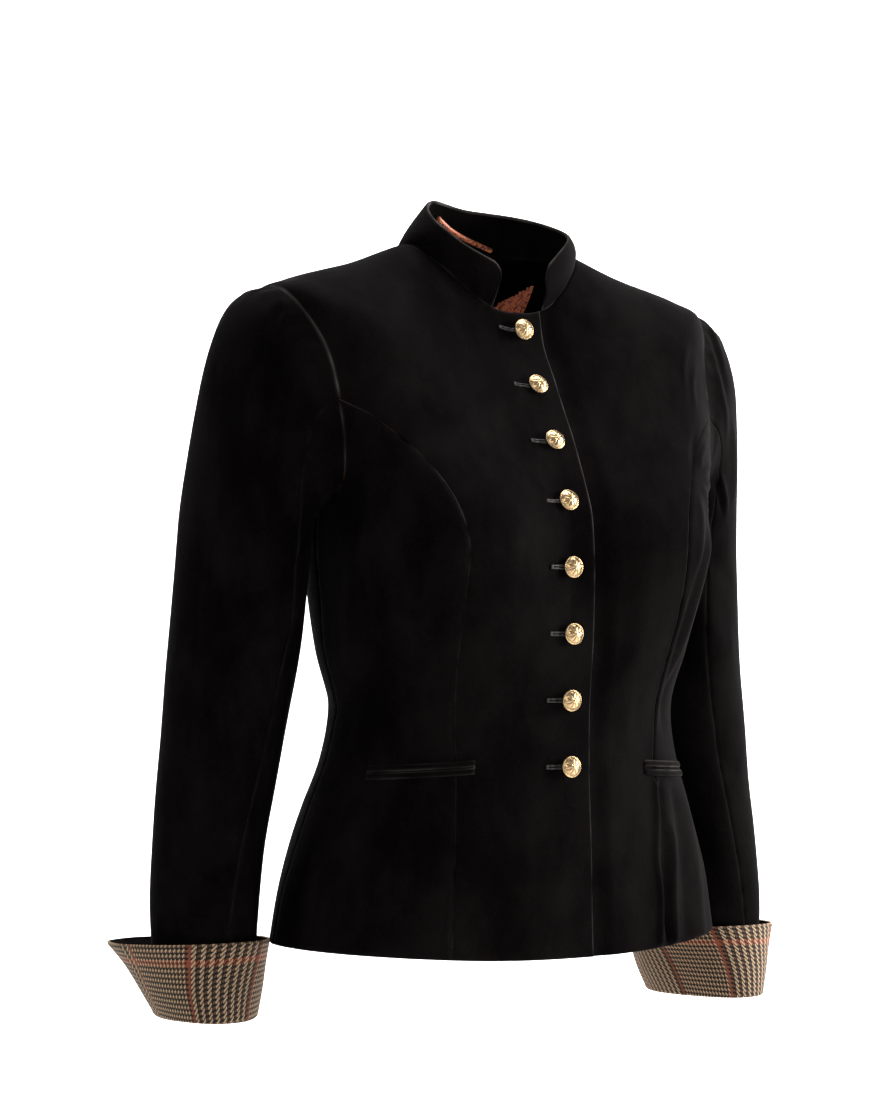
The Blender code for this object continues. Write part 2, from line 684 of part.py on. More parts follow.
def build_pockets():
    across = np.linspace(POCKET_INNER, POCKET_OUTER, LIP_COLUMNS + 1)
    swell = np.array(LIP_SWELL)[:, None, None]
    for side, sign in (("right", -1.0), ("left", 1.0)):
        for kind, low in (("upper", LIP_GAP / 2), ("lower", -LIP_GAP / 2 - LIP_HEIGHT)):
            heights = np.linspace(low, low + LIP_HEIGHT, 3)
            sloped = POCKET_MIDDLE_Z + POCKET_RAISE[side] - POCKET_SLOPE * (across - POCKET_INNER)
            grid = np.array([[on_surface(sign * x, z + h) for x, z in zip(across, sloped)] for h in heights])
            normals = torso_normal(grid[..., 0], grid[..., 1])
            cloth = cloth_trees(f"front_{side}", f"side_front_{side}")
            inner = seated(torso(grid[..., 0], grid[..., 1]), normals, cloth)
            name = f"pocket_{kind}_lip_{side}"
            wall(name, inner + normals * (LIP_THICKNESS * swell), inner, velvet(name))


def button_mesh(name):
    bm = bmesh.new()
    profile = ((0.0, BUTTON_PROFILE[0][1]), *BUTTON_PROFILE, (0.0, BUTTON_CROWN))
    verts = [bm.verts.new((radius, 0.0, height)) for radius, height in profile]
    edges = [bm.edges.new(pair) for pair in zip(verts, verts[1:])]
    bmesh.ops.spin(
        bm, geom=verts + edges, cent=(0, 0, 0), axis=(0, 0, 1), angle=FULL_TURN, steps=BUTTON_STEPS,
    )
    bmesh.ops.remove_doubles(bm, verts=bm.verts, dist=1e-6)
    return mesh_from(name, bm)


def build_buttons():
    heights = RING["z_front"][::-1], RING["down"][::-1]
    first = np.interp(BUTTON_TOP_Z, *heights)
    last = np.interp(BUTTON_BOTTOM_Z, *heights)
    places = evenly(np.array([(0.0, down) for down in np.linspace(first, last, BUTTON_LINE_POINTS)]), BUTTON_COUNT - 1)
    normals = torso_normal(places[:, 0], places[:, 1])
    seats = seated(torso(places[:, 0], places[:, 1]), normals, cloth_trees("front_right"))
    for number, (seat, normal) in enumerate(zip(seats, normals), start=1):
        name = f"button_{number}"
        button = add_object(name, button_mesh(name), gilt(name))
        turn = Vector(normal).to_track_quat("Z", "Y").to_matrix().to_4x4()
        button.matrix_world = Matrix.Translation(Vector(seat)) @ turn


def build_loop():
    share = np.linspace(0, 1, LOOP_POINTS)
    (start_angle, start_share), (end_angle, end_share) = LOOP_ENDS
    angle = np.radians(start_angle + (end_angle - start_angle) * share)
    height = start_share + (end_share - start_share) * share
    step = 1e-3
    around = collar_point(angle + step, height) - collar_point(angle - step, height)
    up = collar_point(angle, height + step) - collar_point(angle, height - step)
    normals = unit(np.cross(around, up))
    stand_off = COLLAR_WALL + LOOP_RADIUS + LAID_ON_GAP + LOOP_SLACK * np.sin(math.pi * share)
    points = collar_point(angle, height) - normals * stand_off[:, None]
    curve = bpy.data.curves.new("hanger_loop", "CURVE")
    curve.dimensions = "3D"
    curve.bevel_depth = LOOP_RADIUS
    curve.bevel_resolution = 1
    curve.use_fill_caps = True
    spline = curve.splines.new("POLY")
    spline.points.add(LOOP_POINTS - 1)
    for place, point in zip(spline.points, points):
        place.co = (*point, 1.0)
    curve.materials.append(lining_cloth("loop"))
    bpy.context.scene.collection.objects.link(bpy.data.objects.new("hanger_loop", curve))


def clear_scene():
    for item in list(bpy.data.objects):
        bpy.data.objects.remove(item, do_unlink=True)


def main():
    clear_scene()
    places = panel_places()
    build_panels(places)
    build_linings(places)
    build_collar()
    build_sleeves()
    build_cuffs()
    build_pockets()
    build_buttons()
    build_loop()


main()
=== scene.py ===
import logging
import math
from dataclasses import dataclass, field
from enum import Enum
from typing import Protocol, Sequence

import bmesh
import bpy
import numpy as np
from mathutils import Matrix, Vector


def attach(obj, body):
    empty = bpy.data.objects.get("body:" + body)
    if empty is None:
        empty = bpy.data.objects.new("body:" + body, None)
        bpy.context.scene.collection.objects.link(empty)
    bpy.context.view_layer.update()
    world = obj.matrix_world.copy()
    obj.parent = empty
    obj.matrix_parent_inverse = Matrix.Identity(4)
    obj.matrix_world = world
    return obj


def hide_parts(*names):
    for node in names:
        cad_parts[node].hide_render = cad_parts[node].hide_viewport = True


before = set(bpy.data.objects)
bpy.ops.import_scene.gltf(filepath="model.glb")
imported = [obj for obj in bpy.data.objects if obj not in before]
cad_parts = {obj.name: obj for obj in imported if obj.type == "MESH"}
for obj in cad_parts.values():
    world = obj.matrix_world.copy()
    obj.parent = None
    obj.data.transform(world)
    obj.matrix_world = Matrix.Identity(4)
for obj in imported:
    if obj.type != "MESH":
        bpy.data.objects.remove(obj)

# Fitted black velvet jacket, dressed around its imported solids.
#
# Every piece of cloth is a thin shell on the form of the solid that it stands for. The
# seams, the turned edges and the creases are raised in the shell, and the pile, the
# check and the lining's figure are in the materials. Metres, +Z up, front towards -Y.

Array = np.ndarray
log = logging.getLogger("velvet_jacket")

MM = 0.001
FULL_TURN = 2 * math.pi
WELD = 1e-6

# A slow swell is a sum of waves of spread lengths, brought to between about -1 and 1.
SWELL_WAVES = 7
SWELL_SPREAD = (0.7, 1.5)
SWELL_SCALE = 3.2
# One over the peak of d * exp(-d**2), the form across a lap.
LAP_SCALE = 2.33
# The wave texture runs this many radians a unit at scale 1.
WAVE_RADIANS = 20.0


class Side(Enum):
    """The wearer's two sides, with the sign of X on each."""

    RIGHT = -1.0
    LEFT = 1.0

    @property
    def word(self) -> str:
        """The side's name, as the solids' names end."""
        return self.name.lower()


class Edge(Enum):
    """How one edge of a piece of cloth is finished: (depth, reach) of its roll in mm."""

    SEAM = (0.9, 3.2)
    TURNED = (1.1, 2.4)
    FLAT = (0.0, 1.0)


class CreaseKind(Enum):
    """The form of a crease across its line."""

    RIDGE = "ridge"
    TROUGH = "trough"
    LAP = "lap"


# Curves and small sums

def slopes_of(stations: Array, values: Array) -> Array:
    """Slopes of a smooth curve through table values."""
    return np.gradient(values, stations, edge_order=1)


def smooth(stations: Array, values: Array, at: Array) -> Array:
    """Cubic curve through a table's values.

    Args:
        stations: where the values hold, rising.
        values: the table's column.
        at: the places wanted.

    Returns:
        The curve's value at each place.
    """
    at = np.clip(np.asarray(at, float), stations[0], stations[-1])
    i = np.clip(np.searchsorted(stations, at, side="right") - 1, 0, len(stations) - 2)
    width = stations[i + 1] - stations[i]
    t = (at - stations[i]) / width
    slope = slopes_of(stations, values)
    return (
        values[i] * (2 * t**3 - 3 * t**2 + 1)
        + values[i + 1] * (3 * t**2 - 2 * t**3)
        + slope[i] * width * (t**3 - 2 * t**2 + t)
        + slope[i + 1] * width * (t**3 - t**2)
    )


def smoothstep(low: float, high: float, value: Array) -> Array:
    """Soft step from 0 at low to 1 at high."""
    t = np.clip((value - low) / (high - low), 0.0, 1.0)
    return t * t * (3 - 2 * t)


def unit(vectors: Array) -> Array:
    """The vectors at length one."""
    return vectors / np.maximum(np.linalg.norm(vectors, axis=-1, keepdims=True), 1e-12)


def gathered(count: int, share: float = 0.75) -> Array:
    """Stations from 0 to 1 that lie closer together towards both ends.

    Args:
        count: how many cells.
        share: 0 for even cells, 1 for the strongest gathering.

    Returns:
        count + 1 stations.
    """
    t = np.linspace(0, 1, count + 1)
    return (1 - share) * t + share * (1 - np.cos(math.pi * t)) / 2


def along_line(curve: Array, at: Array) -> Array:
    """Places on a curve given by evenly numbered points, at shares from 0 to 1."""
    index = np.asarray(at) * (len(curve) - 1)
    return np.stack([np.interp(index, np.arange(len(curve)), c) for c in curve.T], axis=-1)


def run_lengths(points: Array, axis: int) -> Array:
    """Distance along each row (axis 1) or column (axis 0) of a grid, from its start."""
    steps = np.linalg.norm(np.diff(points, axis=axis), axis=-1)
    total = np.cumsum(steps, axis=axis)
    start = np.zeros_like(np.take(total, [0], axis=axis))
    return np.concatenate([start, total], axis=axis)


def uneven(points: Array, wavelength: float, seed: int) -> Array:
    """Slow random swell between about -1 and 1 over a field of points.

    Args:
        points: where it is wanted, in metres.
        wavelength: its typical wavelength, in metres.
        seed: picks the swell.

    Returns:
        One value a point.
    """
    random = np.random.default_rng(seed)
    total = np.zeros(points.shape[:-1])
    for _ in range(SWELL_WAVES):
        way = unit(random.normal(size=3)) * FULL_TURN / wavelength * random.uniform(*SWELL_SPREAD)
        total += np.sin(points @ way + random.uniform(0, FULL_TURN))
    return total / SWELL_SCALE


# Forms that cloth lies on

class Form(Protocol):
    """A surface with two coordinates."""

    def place(self, a: Array, b: Array) -> Array:
        """Points of the surface."""

    def normal(self, a: Array, b: Array) -> Array:
        """Outward normals of the surface."""


@dataclass
class BodyForm:
    """The worn body of the jacket: squared ovals from the neck seam down to the hem.

    Its coordinates are the angle, 0 at the centre front and a quarter turn at +X,
    and the distance down from the neck seam.
    """

    columns: tuple[str, ...] = (
        "down", "z_front", "z_side", "z_back", "half_width",
        "y_front", "y_back", "y_side", "square_front", "square_back",
    )
    rings: tuple[tuple[float, ...], ...] = (
        (0.000, -0.053, 0.000, 0.006, 0.0745, -0.050, 0.047, -0.002, 2.1, 2.1),
        (0.040, -0.082, -0.017, -0.012, 0.1230, -0.057, 0.070, 0.001, 2.1, 2.3),
        (0.080, -0.112, -0.031, -0.036, 0.1700, -0.074, 0.089, 0.002, 2.3, 2.5),
        (0.100, -0.130, -0.039, -0.052, 0.1880, -0.084, 0.096, 0.002, 2.4, 2.6),
        (0.130, -0.155, -0.072, -0.082, 0.1880, -0.097, 0.104, 0.001, 2.5, 2.6),
        (0.160, -0.178, -0.115, -0.118, 0.1850, -0.107, 0.109, 0.000, 2.6, 2.6),
        (0.185, -0.195, -0.152, -0.150, 0.1730, -0.113, 0.110, -0.002, 2.8, 2.6),
        (0.212, -0.213, -0.194, -0.188, 0.1520, -0.1175, 0.108, -0.004, 2.9, 2.5),
        (0.240, -0.240, -0.228, -0.226, 0.1510, -0.1200, 0.103, -0.008, 3.0, 2.4),
        (0.275, -0.275, -0.270, -0.268, 0.1490, -0.1215, 0.095, -0.013, 2.9, 2.3),
        (0.312, -0.312, -0.310, -0.310, 0.1475, -0.1222, 0.084, -0.018, 2.5, 2.2),
        (0.352, -0.352, -0.352, -0.352, 0.1405, -0.1195, 0.076, -0.022, 2.2, 2.1),
        (0.392, -0.392, -0.392, -0.392, 0.1460, -0.1190, 0.081, -0.020, 2.2, 2.1),
        (0.430, -0.430, -0.430, -0.431, 0.1595, -0.1200, 0.090, -0.017, 2.2, 2.1),
        (0.480, -0.480, -0.479, -0.482, 0.1760, -0.1220, 0.097, -0.014, 2.2, 2.1),
        (0.542, -0.539, -0.530, -0.541, 0.1868, -0.1240, 0.101, -0.013, 2.2, 2.0),
    )
    fall_power: float = 1.4
    bust_angle: float = math.radians(39.0)
    bust_down: float = 0.228
    bust_rise: float = 0.030
    bust_spread_angle: float = math.radians(17.0)
    bust_spread_down: float = 0.052
    armhole_top: float = 0.100
    armhole_bottom: float = 0.212
    armhole_cut: float = 0.125

    def __post_init__(self) -> None:
        """Turns the table of rings into named columns."""
        self.ring = dict(zip(self.columns, np.array(self.rings).T))
        self.hem_down = float(self.ring["down"][-1])

    def value(self, column: str, down: Array) -> Array:
        """One column of the rings at any distance down."""
        return smooth(self.ring["down"], self.ring[column], down)

    def halves(self, front: Array, down: Array) -> tuple[Array, Array, Array]:
        """Middle plane, depth and squareness of the front or the back half."""
        y_side = self.value("y_side", down)
        depth = np.where(
            front, y_side - self.value("y_front", down), self.value("y_back", down) - y_side)
        power = np.where(front, self.value("square_front", down), self.value("square_back", down))
        return y_side, depth, power

    def place(self, a: Array, b: Array) -> Array:
        """Points of the body at angle a and distance down b."""
        angle, down = np.broadcast_arrays(np.asarray(a, float), np.asarray(b, float))
        cos, sin = np.cos(angle), np.sin(angle)
        front = cos >= 0
        y_side, depth, power = self.halves(front, down)
        across = np.abs(sin) / self.value("half_width", down)
        reach = ((np.abs(cos) / depth) ** power + across**power) ** (-1 / power)
        turn = np.abs((angle + math.pi) % FULL_TURN - math.pi)
        reach = reach + self.bust_rise * np.exp(
            -0.5 * ((turn - self.bust_angle) / self.bust_spread_angle) ** 2
            - 0.5 * ((down - self.bust_down) / self.bust_spread_down) ** 2
        )
        z_side = self.value("z_side", down)
        z_end = np.where(front, self.value("z_front", down), self.value("z_back", down))
        from_end = np.where(front, turn, math.pi - turn) / (math.pi / 2)
        z = z_side + (z_end - z_side) * np.cos(math.pi / 2 * from_end**self.fall_power) ** 2
        return np.stack([reach * sin, y_side - reach * cos, z], axis=-1)

    def normal(self, a: Array, b: Array) -> Array:
        """Outward normals of the body."""
        step = 1e-4
        inside = np.clip(b, step, self.hem_down - step)
        around = self.place(a + step, inside) - self.place(a - step, inside)
        along = self.place(a, inside + step) - self.place(a, inside - step)
        return unit(np.cross(along, around))

    def find(self, x: float, z: float, behind: bool = False) -> tuple[float, float]:
        """Angle and distance down of the body's point at this x and height."""
        angle = math.copysign(math.pi - 0.5 if behind else 0.5, x)
        down, step = -z, 1e-5
        for _ in range(30):
            here = self.place(angle, down)
            side_step = step if down < self.hem_down - step else -step
            by_angle = (self.place(angle + step, down) - here) / step
            by_down = (self.place(angle, down + side_step) - here) / side_step
            slope = np.array([[by_angle[0], by_down[0]], [by_angle[2], by_down[2]]])
            gap = np.array([x - here[0], z - here[2]])
            change = np.linalg.lstsq(slope, gap, rcond=None)[0]
            angle += float(np.clip(change[0], -0.2, 0.2))
            down += float(np.clip(change[1], -0.03, 0.03))
            down = float(np.clip(down, 0.0, self.hem_down))
        return angle, down

    def evenly(self, points: Array, cells: int) -> Array:
        """A curve through places on the body, cut into cells of equal length."""
        index = np.arange(len(points), dtype=float)
        fine = np.linspace(0, len(points) - 1, 40 * len(points))
        angle = smooth(index, points[:, 0], fine)
        down = smooth(index, points[:, 1], fine)
        length = np.linalg.norm(np.diff(self.place(angle, down), axis=0), axis=1)
        total = np.concatenate([[0.0], np.cumsum(length)])
        at = np.linspace(0.0, total[-1], cells + 1)
        return np.stack([np.interp(at, total, angle), np.interp(at, total, down)], axis=-1)

    def armhole(self, turn: Array) -> Array:
        """Places of the +X armhole's edge: turn 0 is the shoulder point, by the front."""
        turn = np.asarray(turn, float)
        share = (1 - np.cos(turn)) / 2
        down = self.armhole_top + (self.armhole_bottom - self.armhole_top) * share
        ratio = 1 - self.armhole_cut * 4 * share * (1 - share)
        front = np.sin(turn) >= 0
        _, depth, power = self.halves(front, down)
        inward = depth * np.maximum(1 - ratio**power, 0.0) ** (1 / power)
        angle = np.arctan2(ratio * self.value("half_width", down), inward)
        return np.stack([np.where(front, angle, math.pi - angle), down], axis=-1)

    def armhole_line(self, side: Side) -> Array:
        """Points all round one armhole's seam."""
        edge = self.armhole(np.linspace(0, FULL_TURN, 181)) * np.array([side.value, 1.0])
        return self.place(edge[:, 0], edge[:, 1])


@dataclass
class SleeveForm:
    """One worn sleeve, from the armhole to the fold of its cuff.

    Its coordinates are the turn round the sleeve, 0 on the outside, by the front, and
    the ring that it lies on, counted from the armhole.
    """

    body: BodyForm
    side: Side
    columns: tuple[str, ...] = (
        "outer_x", "outer_z", "inner_x", "inner_z", "middle_y", "half_depth", "turn",
    )
    rings: tuple[tuple[float, ...], ...] = (
        (0.2030, -0.0440, 0.1540, -0.2010, 0.0025, 0.0640, 0.0),
        (0.2155, -0.0580, 0.1560, -0.2070, 0.0040, 0.0645, 1.0),
        (0.2250, -0.0840, 0.1575, -0.2130, 0.0070, 0.0645, 3.0),
        (0.2310, -0.1180, 0.1585, -0.2190, 0.0110, 0.0640, 6.0),
        (0.2360, -0.1580, 0.1590, -0.2260, 0.0150, 0.0635, 9.0),
        (0.2395, -0.2000, 0.1590, -0.2360, 0.0190, 0.0630, 12.0),
        (0.2420, -0.2450, 0.1595, -0.2520, 0.0215, 0.0620, 14.0),
        (0.2485, -0.3040, 0.1620, -0.3040, 0.0255, 0.0585, 15.0),
        (0.2540, -0.3560, 0.1675, -0.3560, 0.0280, 0.0550, 12.0),
        (0.2600, -0.4100, 0.1775, -0.4100, 0.0285, 0.0515, 8.0),
        (0.2650, -0.4560, 0.1855, -0.4560, 0.0275, 0.0495, 3.0),
        (0.2675, -0.5000, 0.1905, -0.5000, 0.0260, 0.0485, -2.0),
        (0.2660, -0.5400, 0.1920, -0.5400, 0.0270, 0.0500, -6.0),
        (0.2620, -0.5800, 0.1920, -0.5800, 0.0290, 0.0545, -10.0),
    )
    half_depth_at_armhole: float = 0.0640
    fade: float = 5.0
    drop_start: float = 5.0
    drops: tuple[float, float] = (0.000, 0.012)

    @property
    def end(self) -> float:
        """The number of the last ring."""
        return float(len(self.rings))

    @property
    def drop(self) -> float:
        """How much lower this sleeve's end hangs."""
        return self.drops[0] if self.side is Side.RIGHT else self.drops[1]

    def place(self, a: Array, b: Array) -> Array:
        """Points of the sleeve at turn a and ring b."""
        turn, along = np.broadcast_arrays(np.asarray(a, float), np.asarray(b, float))
        top = self.body.place(*self.body.armhole(0.0).T)
        bottom = self.body.place(*self.body.armhole(math.pi).T)
        middle = (top + bottom) / 2
        first = (top[0], top[2], bottom[0], bottom[2], middle[1], self.half_depth_at_armhole, 0.0)
        table = np.vstack([first, self.rings])
        stations = np.arange(len(table), dtype=float)
        ring = {n: smooth(stations, table[:, i], along) for i, n in enumerate(self.columns)}
        axis = (top - bottom) / 2 * np.array([1.0, 0.0, 1.0])
        sideways = np.array([axis[2], 0.0, -axis[0]]) / np.linalg.norm(axis)
        edge = self.body.armhole(turn)
        offset = self.body.place(edge[..., 0], edge[..., 1]) - middle
        near = 1 - smoothstep(0.0, self.fade, along)
        turn_cos = near * (offset @ axis) / (axis @ axis) + (1 - near) * np.cos(turn)
        turn_sin = near * offset[..., 1] / self.half_depth_at_armhole - (1 - near) * np.sin(turn)
        half_width = (ring["outer_x"] - ring["inner_x"]) / 2
        x, y = turned(half_width * turn_cos, ring["half_depth"] * turn_sin, ring["turn"])
        z = (ring["outer_z"] - ring["inner_z"]) / 2 * turn_cos
        fall = self.drop * smoothstep(self.drop_start, self.end, along)
        centre = np.stack([
            (ring["outer_x"] + ring["inner_x"]) / 2,
            ring["middle_y"],
            (ring["outer_z"] + ring["inner_z"]) / 2 - fall,
        ], axis=-1)
        lean = sideways * (near * (offset @ sideways))[..., None]
        return (centre + np.stack([x, y, z], axis=-1) + lean) * np.array([self.side.value, 1, 1])

    def normal(self, a: Array, b: Array) -> Array:
        """Outward normals of the sleeve."""
        return tube_normals(self, a, b, 0.0, self.end)


@dataclass
class CuffForm:
    """One turned-back cuff: share 0 is its fold and 1 its flared edge.

    Below 0 the form goes round the fold, down to fold_end, and on up the inside of
    the sleeve, down to -1.
    """

    sleeve: SleeveForm
    columns: tuple[str, ...] = (
        "middle_x", "middle_y", "half_width", "half_depth", "turn", "height",
    )
    rings: tuple[tuple[float, ...], ...] = (
        (0.2270, 0.0290, 0.0379, 0.0575, -10.0, 0.000),
        (0.2280, 0.0345, 0.0440, 0.0625, -8.0, 0.018),
        (0.2300, 0.0405, 0.0500, 0.0675, -3.0, 0.037),
        (0.2325, 0.0480, 0.0575, 0.0750, 3.0, 0.056),
    )
    back_dip: float = 0.010
    fold_radius: float = 0.0028
    fold_end: float = -0.2
    facing: float = 0.030

    def place(self, a: Array, b: Array) -> Array:
        """Points of the cuff at turn a and share b."""
        turn, share = np.broadcast_arrays(np.asarray(a, float), np.asarray(b, float))
        table = np.array(self.rings)
        stations = table[:, -1] / table[-1, -1]
        up = np.clip(share, 0.0, 1.0)
        ring = {n: smooth(stations, table[:, i], up) for i, n in enumerate(self.columns)}
        fold = np.clip(share / self.fold_end, 0.0, 1.0) * math.pi
        inward = self.fold_radius * (1 - np.cos(fold))
        x, y = turned(
            (ring["half_width"] - inward) * np.cos(turn),
            -(ring["half_depth"] - inward) * np.sin(turn), ring["turn"])
        dip = self.back_dip * up * (1 - np.sin(turn)) / 2
        past_fold = (self.fold_end - share) / (1 + self.fold_end)
        inside = np.clip(past_fold, 0.0, 1.0) * self.facing
        height = ring["height"] - dip - self.fold_radius * np.sin(fold) + inside
        z = self.sleeve.rings[-1][1] - self.sleeve.drop + height
        points = np.stack([ring["middle_x"] + x, ring["middle_y"] + y, z], axis=-1)
        return points * np.array([self.sleeve.side.value, 1, 1])

    def normal(self, a: Array, b: Array) -> Array:
        """Normals of the cuff, out of the side that shows the check."""
        step = 1e-3
        around = self.place(a + step, b) - self.place(a - step, b)
        along = self.place(a, b + step) - self.place(a, b - step)
        return unit(np.cross(along, around)) * self.sleeve.side.value


@dataclass
class CollarForm:
    """The stand collar: share 0 is the neck seam and 1 the top edge."""

    body: BodyForm
    end_angle: float = math.radians(26.0)
    half_width: float = 0.0590
    middle_y: float = -0.022
    front_depth: float = 0.038
    back_depth: float = 0.050
    bow: float = 0.003
    corner: float = 0.010
    top_heights: tuple[tuple[float, float], ...] = (
        (26.0, -0.0205), (60.0, 0.002), (90.0, 0.017), (120.0, 0.028), (180.0, 0.036),
        (240.0, 0.036), (270.0, 0.0185), (300.0, -0.004), (334.0, -0.0205),
    )

    def top(self, angle: Array) -> Array:
        """Points of the top edge, before its corners are rounded."""
        cos, sin = np.cos(angle), np.sin(angle)
        depth = np.where(cos >= 0, self.front_depth, self.back_depth)
        reach = 1 / np.hypot(cos / depth, sin / self.half_width)
        heights = np.array(self.top_heights)
        z = smooth(heights[:, 0], heights[:, 1], np.degrees(angle))
        return np.stack([reach * sin, self.middle_y - reach * cos, z], axis=-1)

    def place(self, a: Array, b: Array) -> Array:
        """Points of the collar at angle a and share b."""
        angle, share = np.broadcast_arrays(np.asarray(a, float), np.asarray(b, float))
        base = self.body.place(angle, 0.0)
        line = base + (self.top(angle) - base) * share[..., None]
        outwards = np.stack([np.sin(angle), -np.cos(angle), np.zeros_like(angle)], axis=-1)
        return line + outwards * (self.bow * np.sin(math.pi * np.clip(share, 0, 1)))[..., None]

    def normal(self, a: Array, b: Array) -> Array:
        """Outward normals of the collar."""
        step = 1e-3
        around = self.place(a + step, b) - self.place(a - step, b)
        up = self.place(a, b + step) - self.place(a, b - step)
        return unit(np.cross(around, up))


def turned(across: Array, depth: Array, degrees: Array) -> tuple[Array, Array]:
    """A place in an oval, turned about the upright by some degrees."""
    angle = np.radians(degrees)
    return (
        across * np.cos(angle) + depth * np.sin(angle),
        depth * np.cos(angle) - across * np.sin(angle),
    )


def tube_normals(form: Form, a: Array, b: Array, low: float, high: float) -> Array:
    """Normals of a tube-like form, away from the middle of each of its rings."""
    step = 1e-3
    inside = np.clip(b, low + step, high - step)
    around = form.place(a + step, inside) - form.place(a - step, inside)
    along = form.place(a, inside + step) - form.place(a, inside - step)
    normals = unit(np.cross(around, along))
    middle = (form.place(a, inside) + form.place(a + math.pi, inside)) / 2
    return normals * np.sign(np.sum(normals * (form.place(a, inside) - middle)))


# Creases

@dataclass(frozen=True)
class Crease:
    """A soft fold laid into a piece.

    Its path is given in the coordinates of the piece's form, degrees for the first
    and mm, or rings on a sleeve, for the second. Width and height are in mm.
    """

    kind: CreaseKind
    path: tuple[tuple[float, float], ...]
    width: float
    height: float
    fades: tuple[float, float] = (0.3, 0.3)

    def rise(self, form: Form, points: Array, normals: Array, scale: float) -> Array:
        """How far the crease lifts each point.

        Args:
            form: the surface that the path lies on.
            points: points of the piece.
            normals: the piece's normals there.
            scale: turns the path's second coordinate into the form's.

        Returns:
            The lift in metres, one value a point.
        """
        path = np.array(self.path, float)
        index = np.arange(len(path), dtype=float)
        fine = np.linspace(0, len(path) - 1, 12 * len(path))
        line = form.place(
            np.radians(smooth(index, path[:, 0], fine)), smooth(index, path[:, 1], fine) * scale)
        width = self.width * MM
        low, high = line.min(0) - 3 * width, line.max(0) + 3 * width
        near = np.all((points > low) & (points < high), axis=-1)
        lift = np.zeros(points.shape[:-1])
        if not near.any():
            return lift
        spots, facing = points[near], normals[near]
        best = np.full(len(spots), np.inf)
        share, side = np.zeros(len(spots)), np.ones(len(spots))
        for k, (start, way) in enumerate(zip(line, np.diff(line, axis=0))):
            t = np.clip((spots - start) @ way / max(way @ way, 1e-12), 0.0, 1.0)
            gap = spots - start - t[:, None] * way
            distance = np.linalg.norm(gap, axis=1)
            closer = distance < best
            best = np.where(closer, distance, best)
            share = np.where(closer, (k + t) / (len(line) - 1), share)
            handed = np.sign(np.sum(np.cross(facing, way) * gap, axis=1))
            side = np.where(closer, handed, side)
        d = best / width
        if self.kind is CreaseKind.LAP:
            form_across = LAP_SCALE * side * d * np.exp(-(d**2))
        else:
            form_across = np.exp(-(d**2)) * (1 if self.kind is CreaseKind.RIDGE else -1)
        start_fade, end_fade = self.fades
        strength = smoothstep(0.0, max(start_fade, 1e-3), share)
        strength = strength * smoothstep(0.0, max(end_fade, 1e-3), 1 - share)
        lift[near] = form_across * strength * self.height * MM
        return lift


# Finishes

def linear(hex_colour: str) -> tuple[float, float, float, float]:
    """An sRGB hex colour, such as #1a2b3c, as linear red, green, blue and alpha."""
    parts = [int(hex_colour[i:i + 2], 16) / 255 for i in (1, 3, 5)]
    values = [c / 12.92 if c <= 0.04045 else ((c + 0.055) / 1.055) ** 2.4 for c in parts]
    return (values[0], values[1], values[2], 1.0)


def add_node(
    tree: bpy.types.NodeTree, kind: str, links: dict | None = None,
    inputs: dict | None = None, **settings: object,
) -> bpy.types.Node:
    """Adds a node with its settings and links.

    Args:
        tree: the material's node tree.
        kind: the node's type.
        links: input name or number to the socket that feeds it.
        inputs: input name or number to its value.
        settings: the node's own properties.

    Returns:
        The new node.
    """
    node = tree.nodes.new(kind)
    for name, value in settings.items():
        setattr(node, name, value)
    for name, value in (inputs or {}).items():
        node.inputs[name].default_value = value
    for name, socket in (links or {}).items():
        tree.links.new(socket, node.inputs[name])
    return node


def new_material(name: str) -> tuple[bpy.types.Material, bpy.types.NodeTree, bpy.types.Node]:
    """A new material with its tree and its Principled shader."""
    material = bpy.data.materials.new(name)
    material.use_nodes = True
    tree = material.node_tree
    return material, tree, tree.nodes["Principled BSDF"]


def shaded(shader: bpy.types.Node, values: dict) -> None:
    """Sets uniform values on the shader's own sockets."""
    for name, value in values.items():
        shader.inputs[name].default_value = value


def ramped(
    tree: bpy.types.NodeTree, factor: bpy.types.NodeSocket, stops: Sequence[tuple[float, str]],
) -> bpy.types.NodeSocket:
    """A colour that runs from the first stop's to the second's between their places."""
    ramp = add_node(tree, "ShaderNodeValToRGB", {"Fac": factor})
    for element, (position, colour) in zip(ramp.color_ramp.elements, stops):
        element.position = position
        element.color = linear(colour)
    return ramp.outputs[0]


def bumped(
    tree: bpy.types.NodeTree, height: bpy.types.NodeSocket, relief: tuple[float, float],
    under: bpy.types.NodeSocket | None = None,
) -> bpy.types.NodeSocket:
    """A bump, laid over another where one is given.

    Args:
        tree: the material's node tree.
        height: the height from 0 to 1.
        relief: the bump's strength, and its depth in mm.
        under: the bump that it lies on.

    Returns:
        The bumped normal.
    """
    strength, depth_mm = relief
    links = {"Height": height}
    if under is not None:
        links["Normal"] = under
    bump = add_node(
        tree, "ShaderNodeBump", links, {"Strength": strength, "Distance": depth_mm * MM})
    return bump.outputs[0]


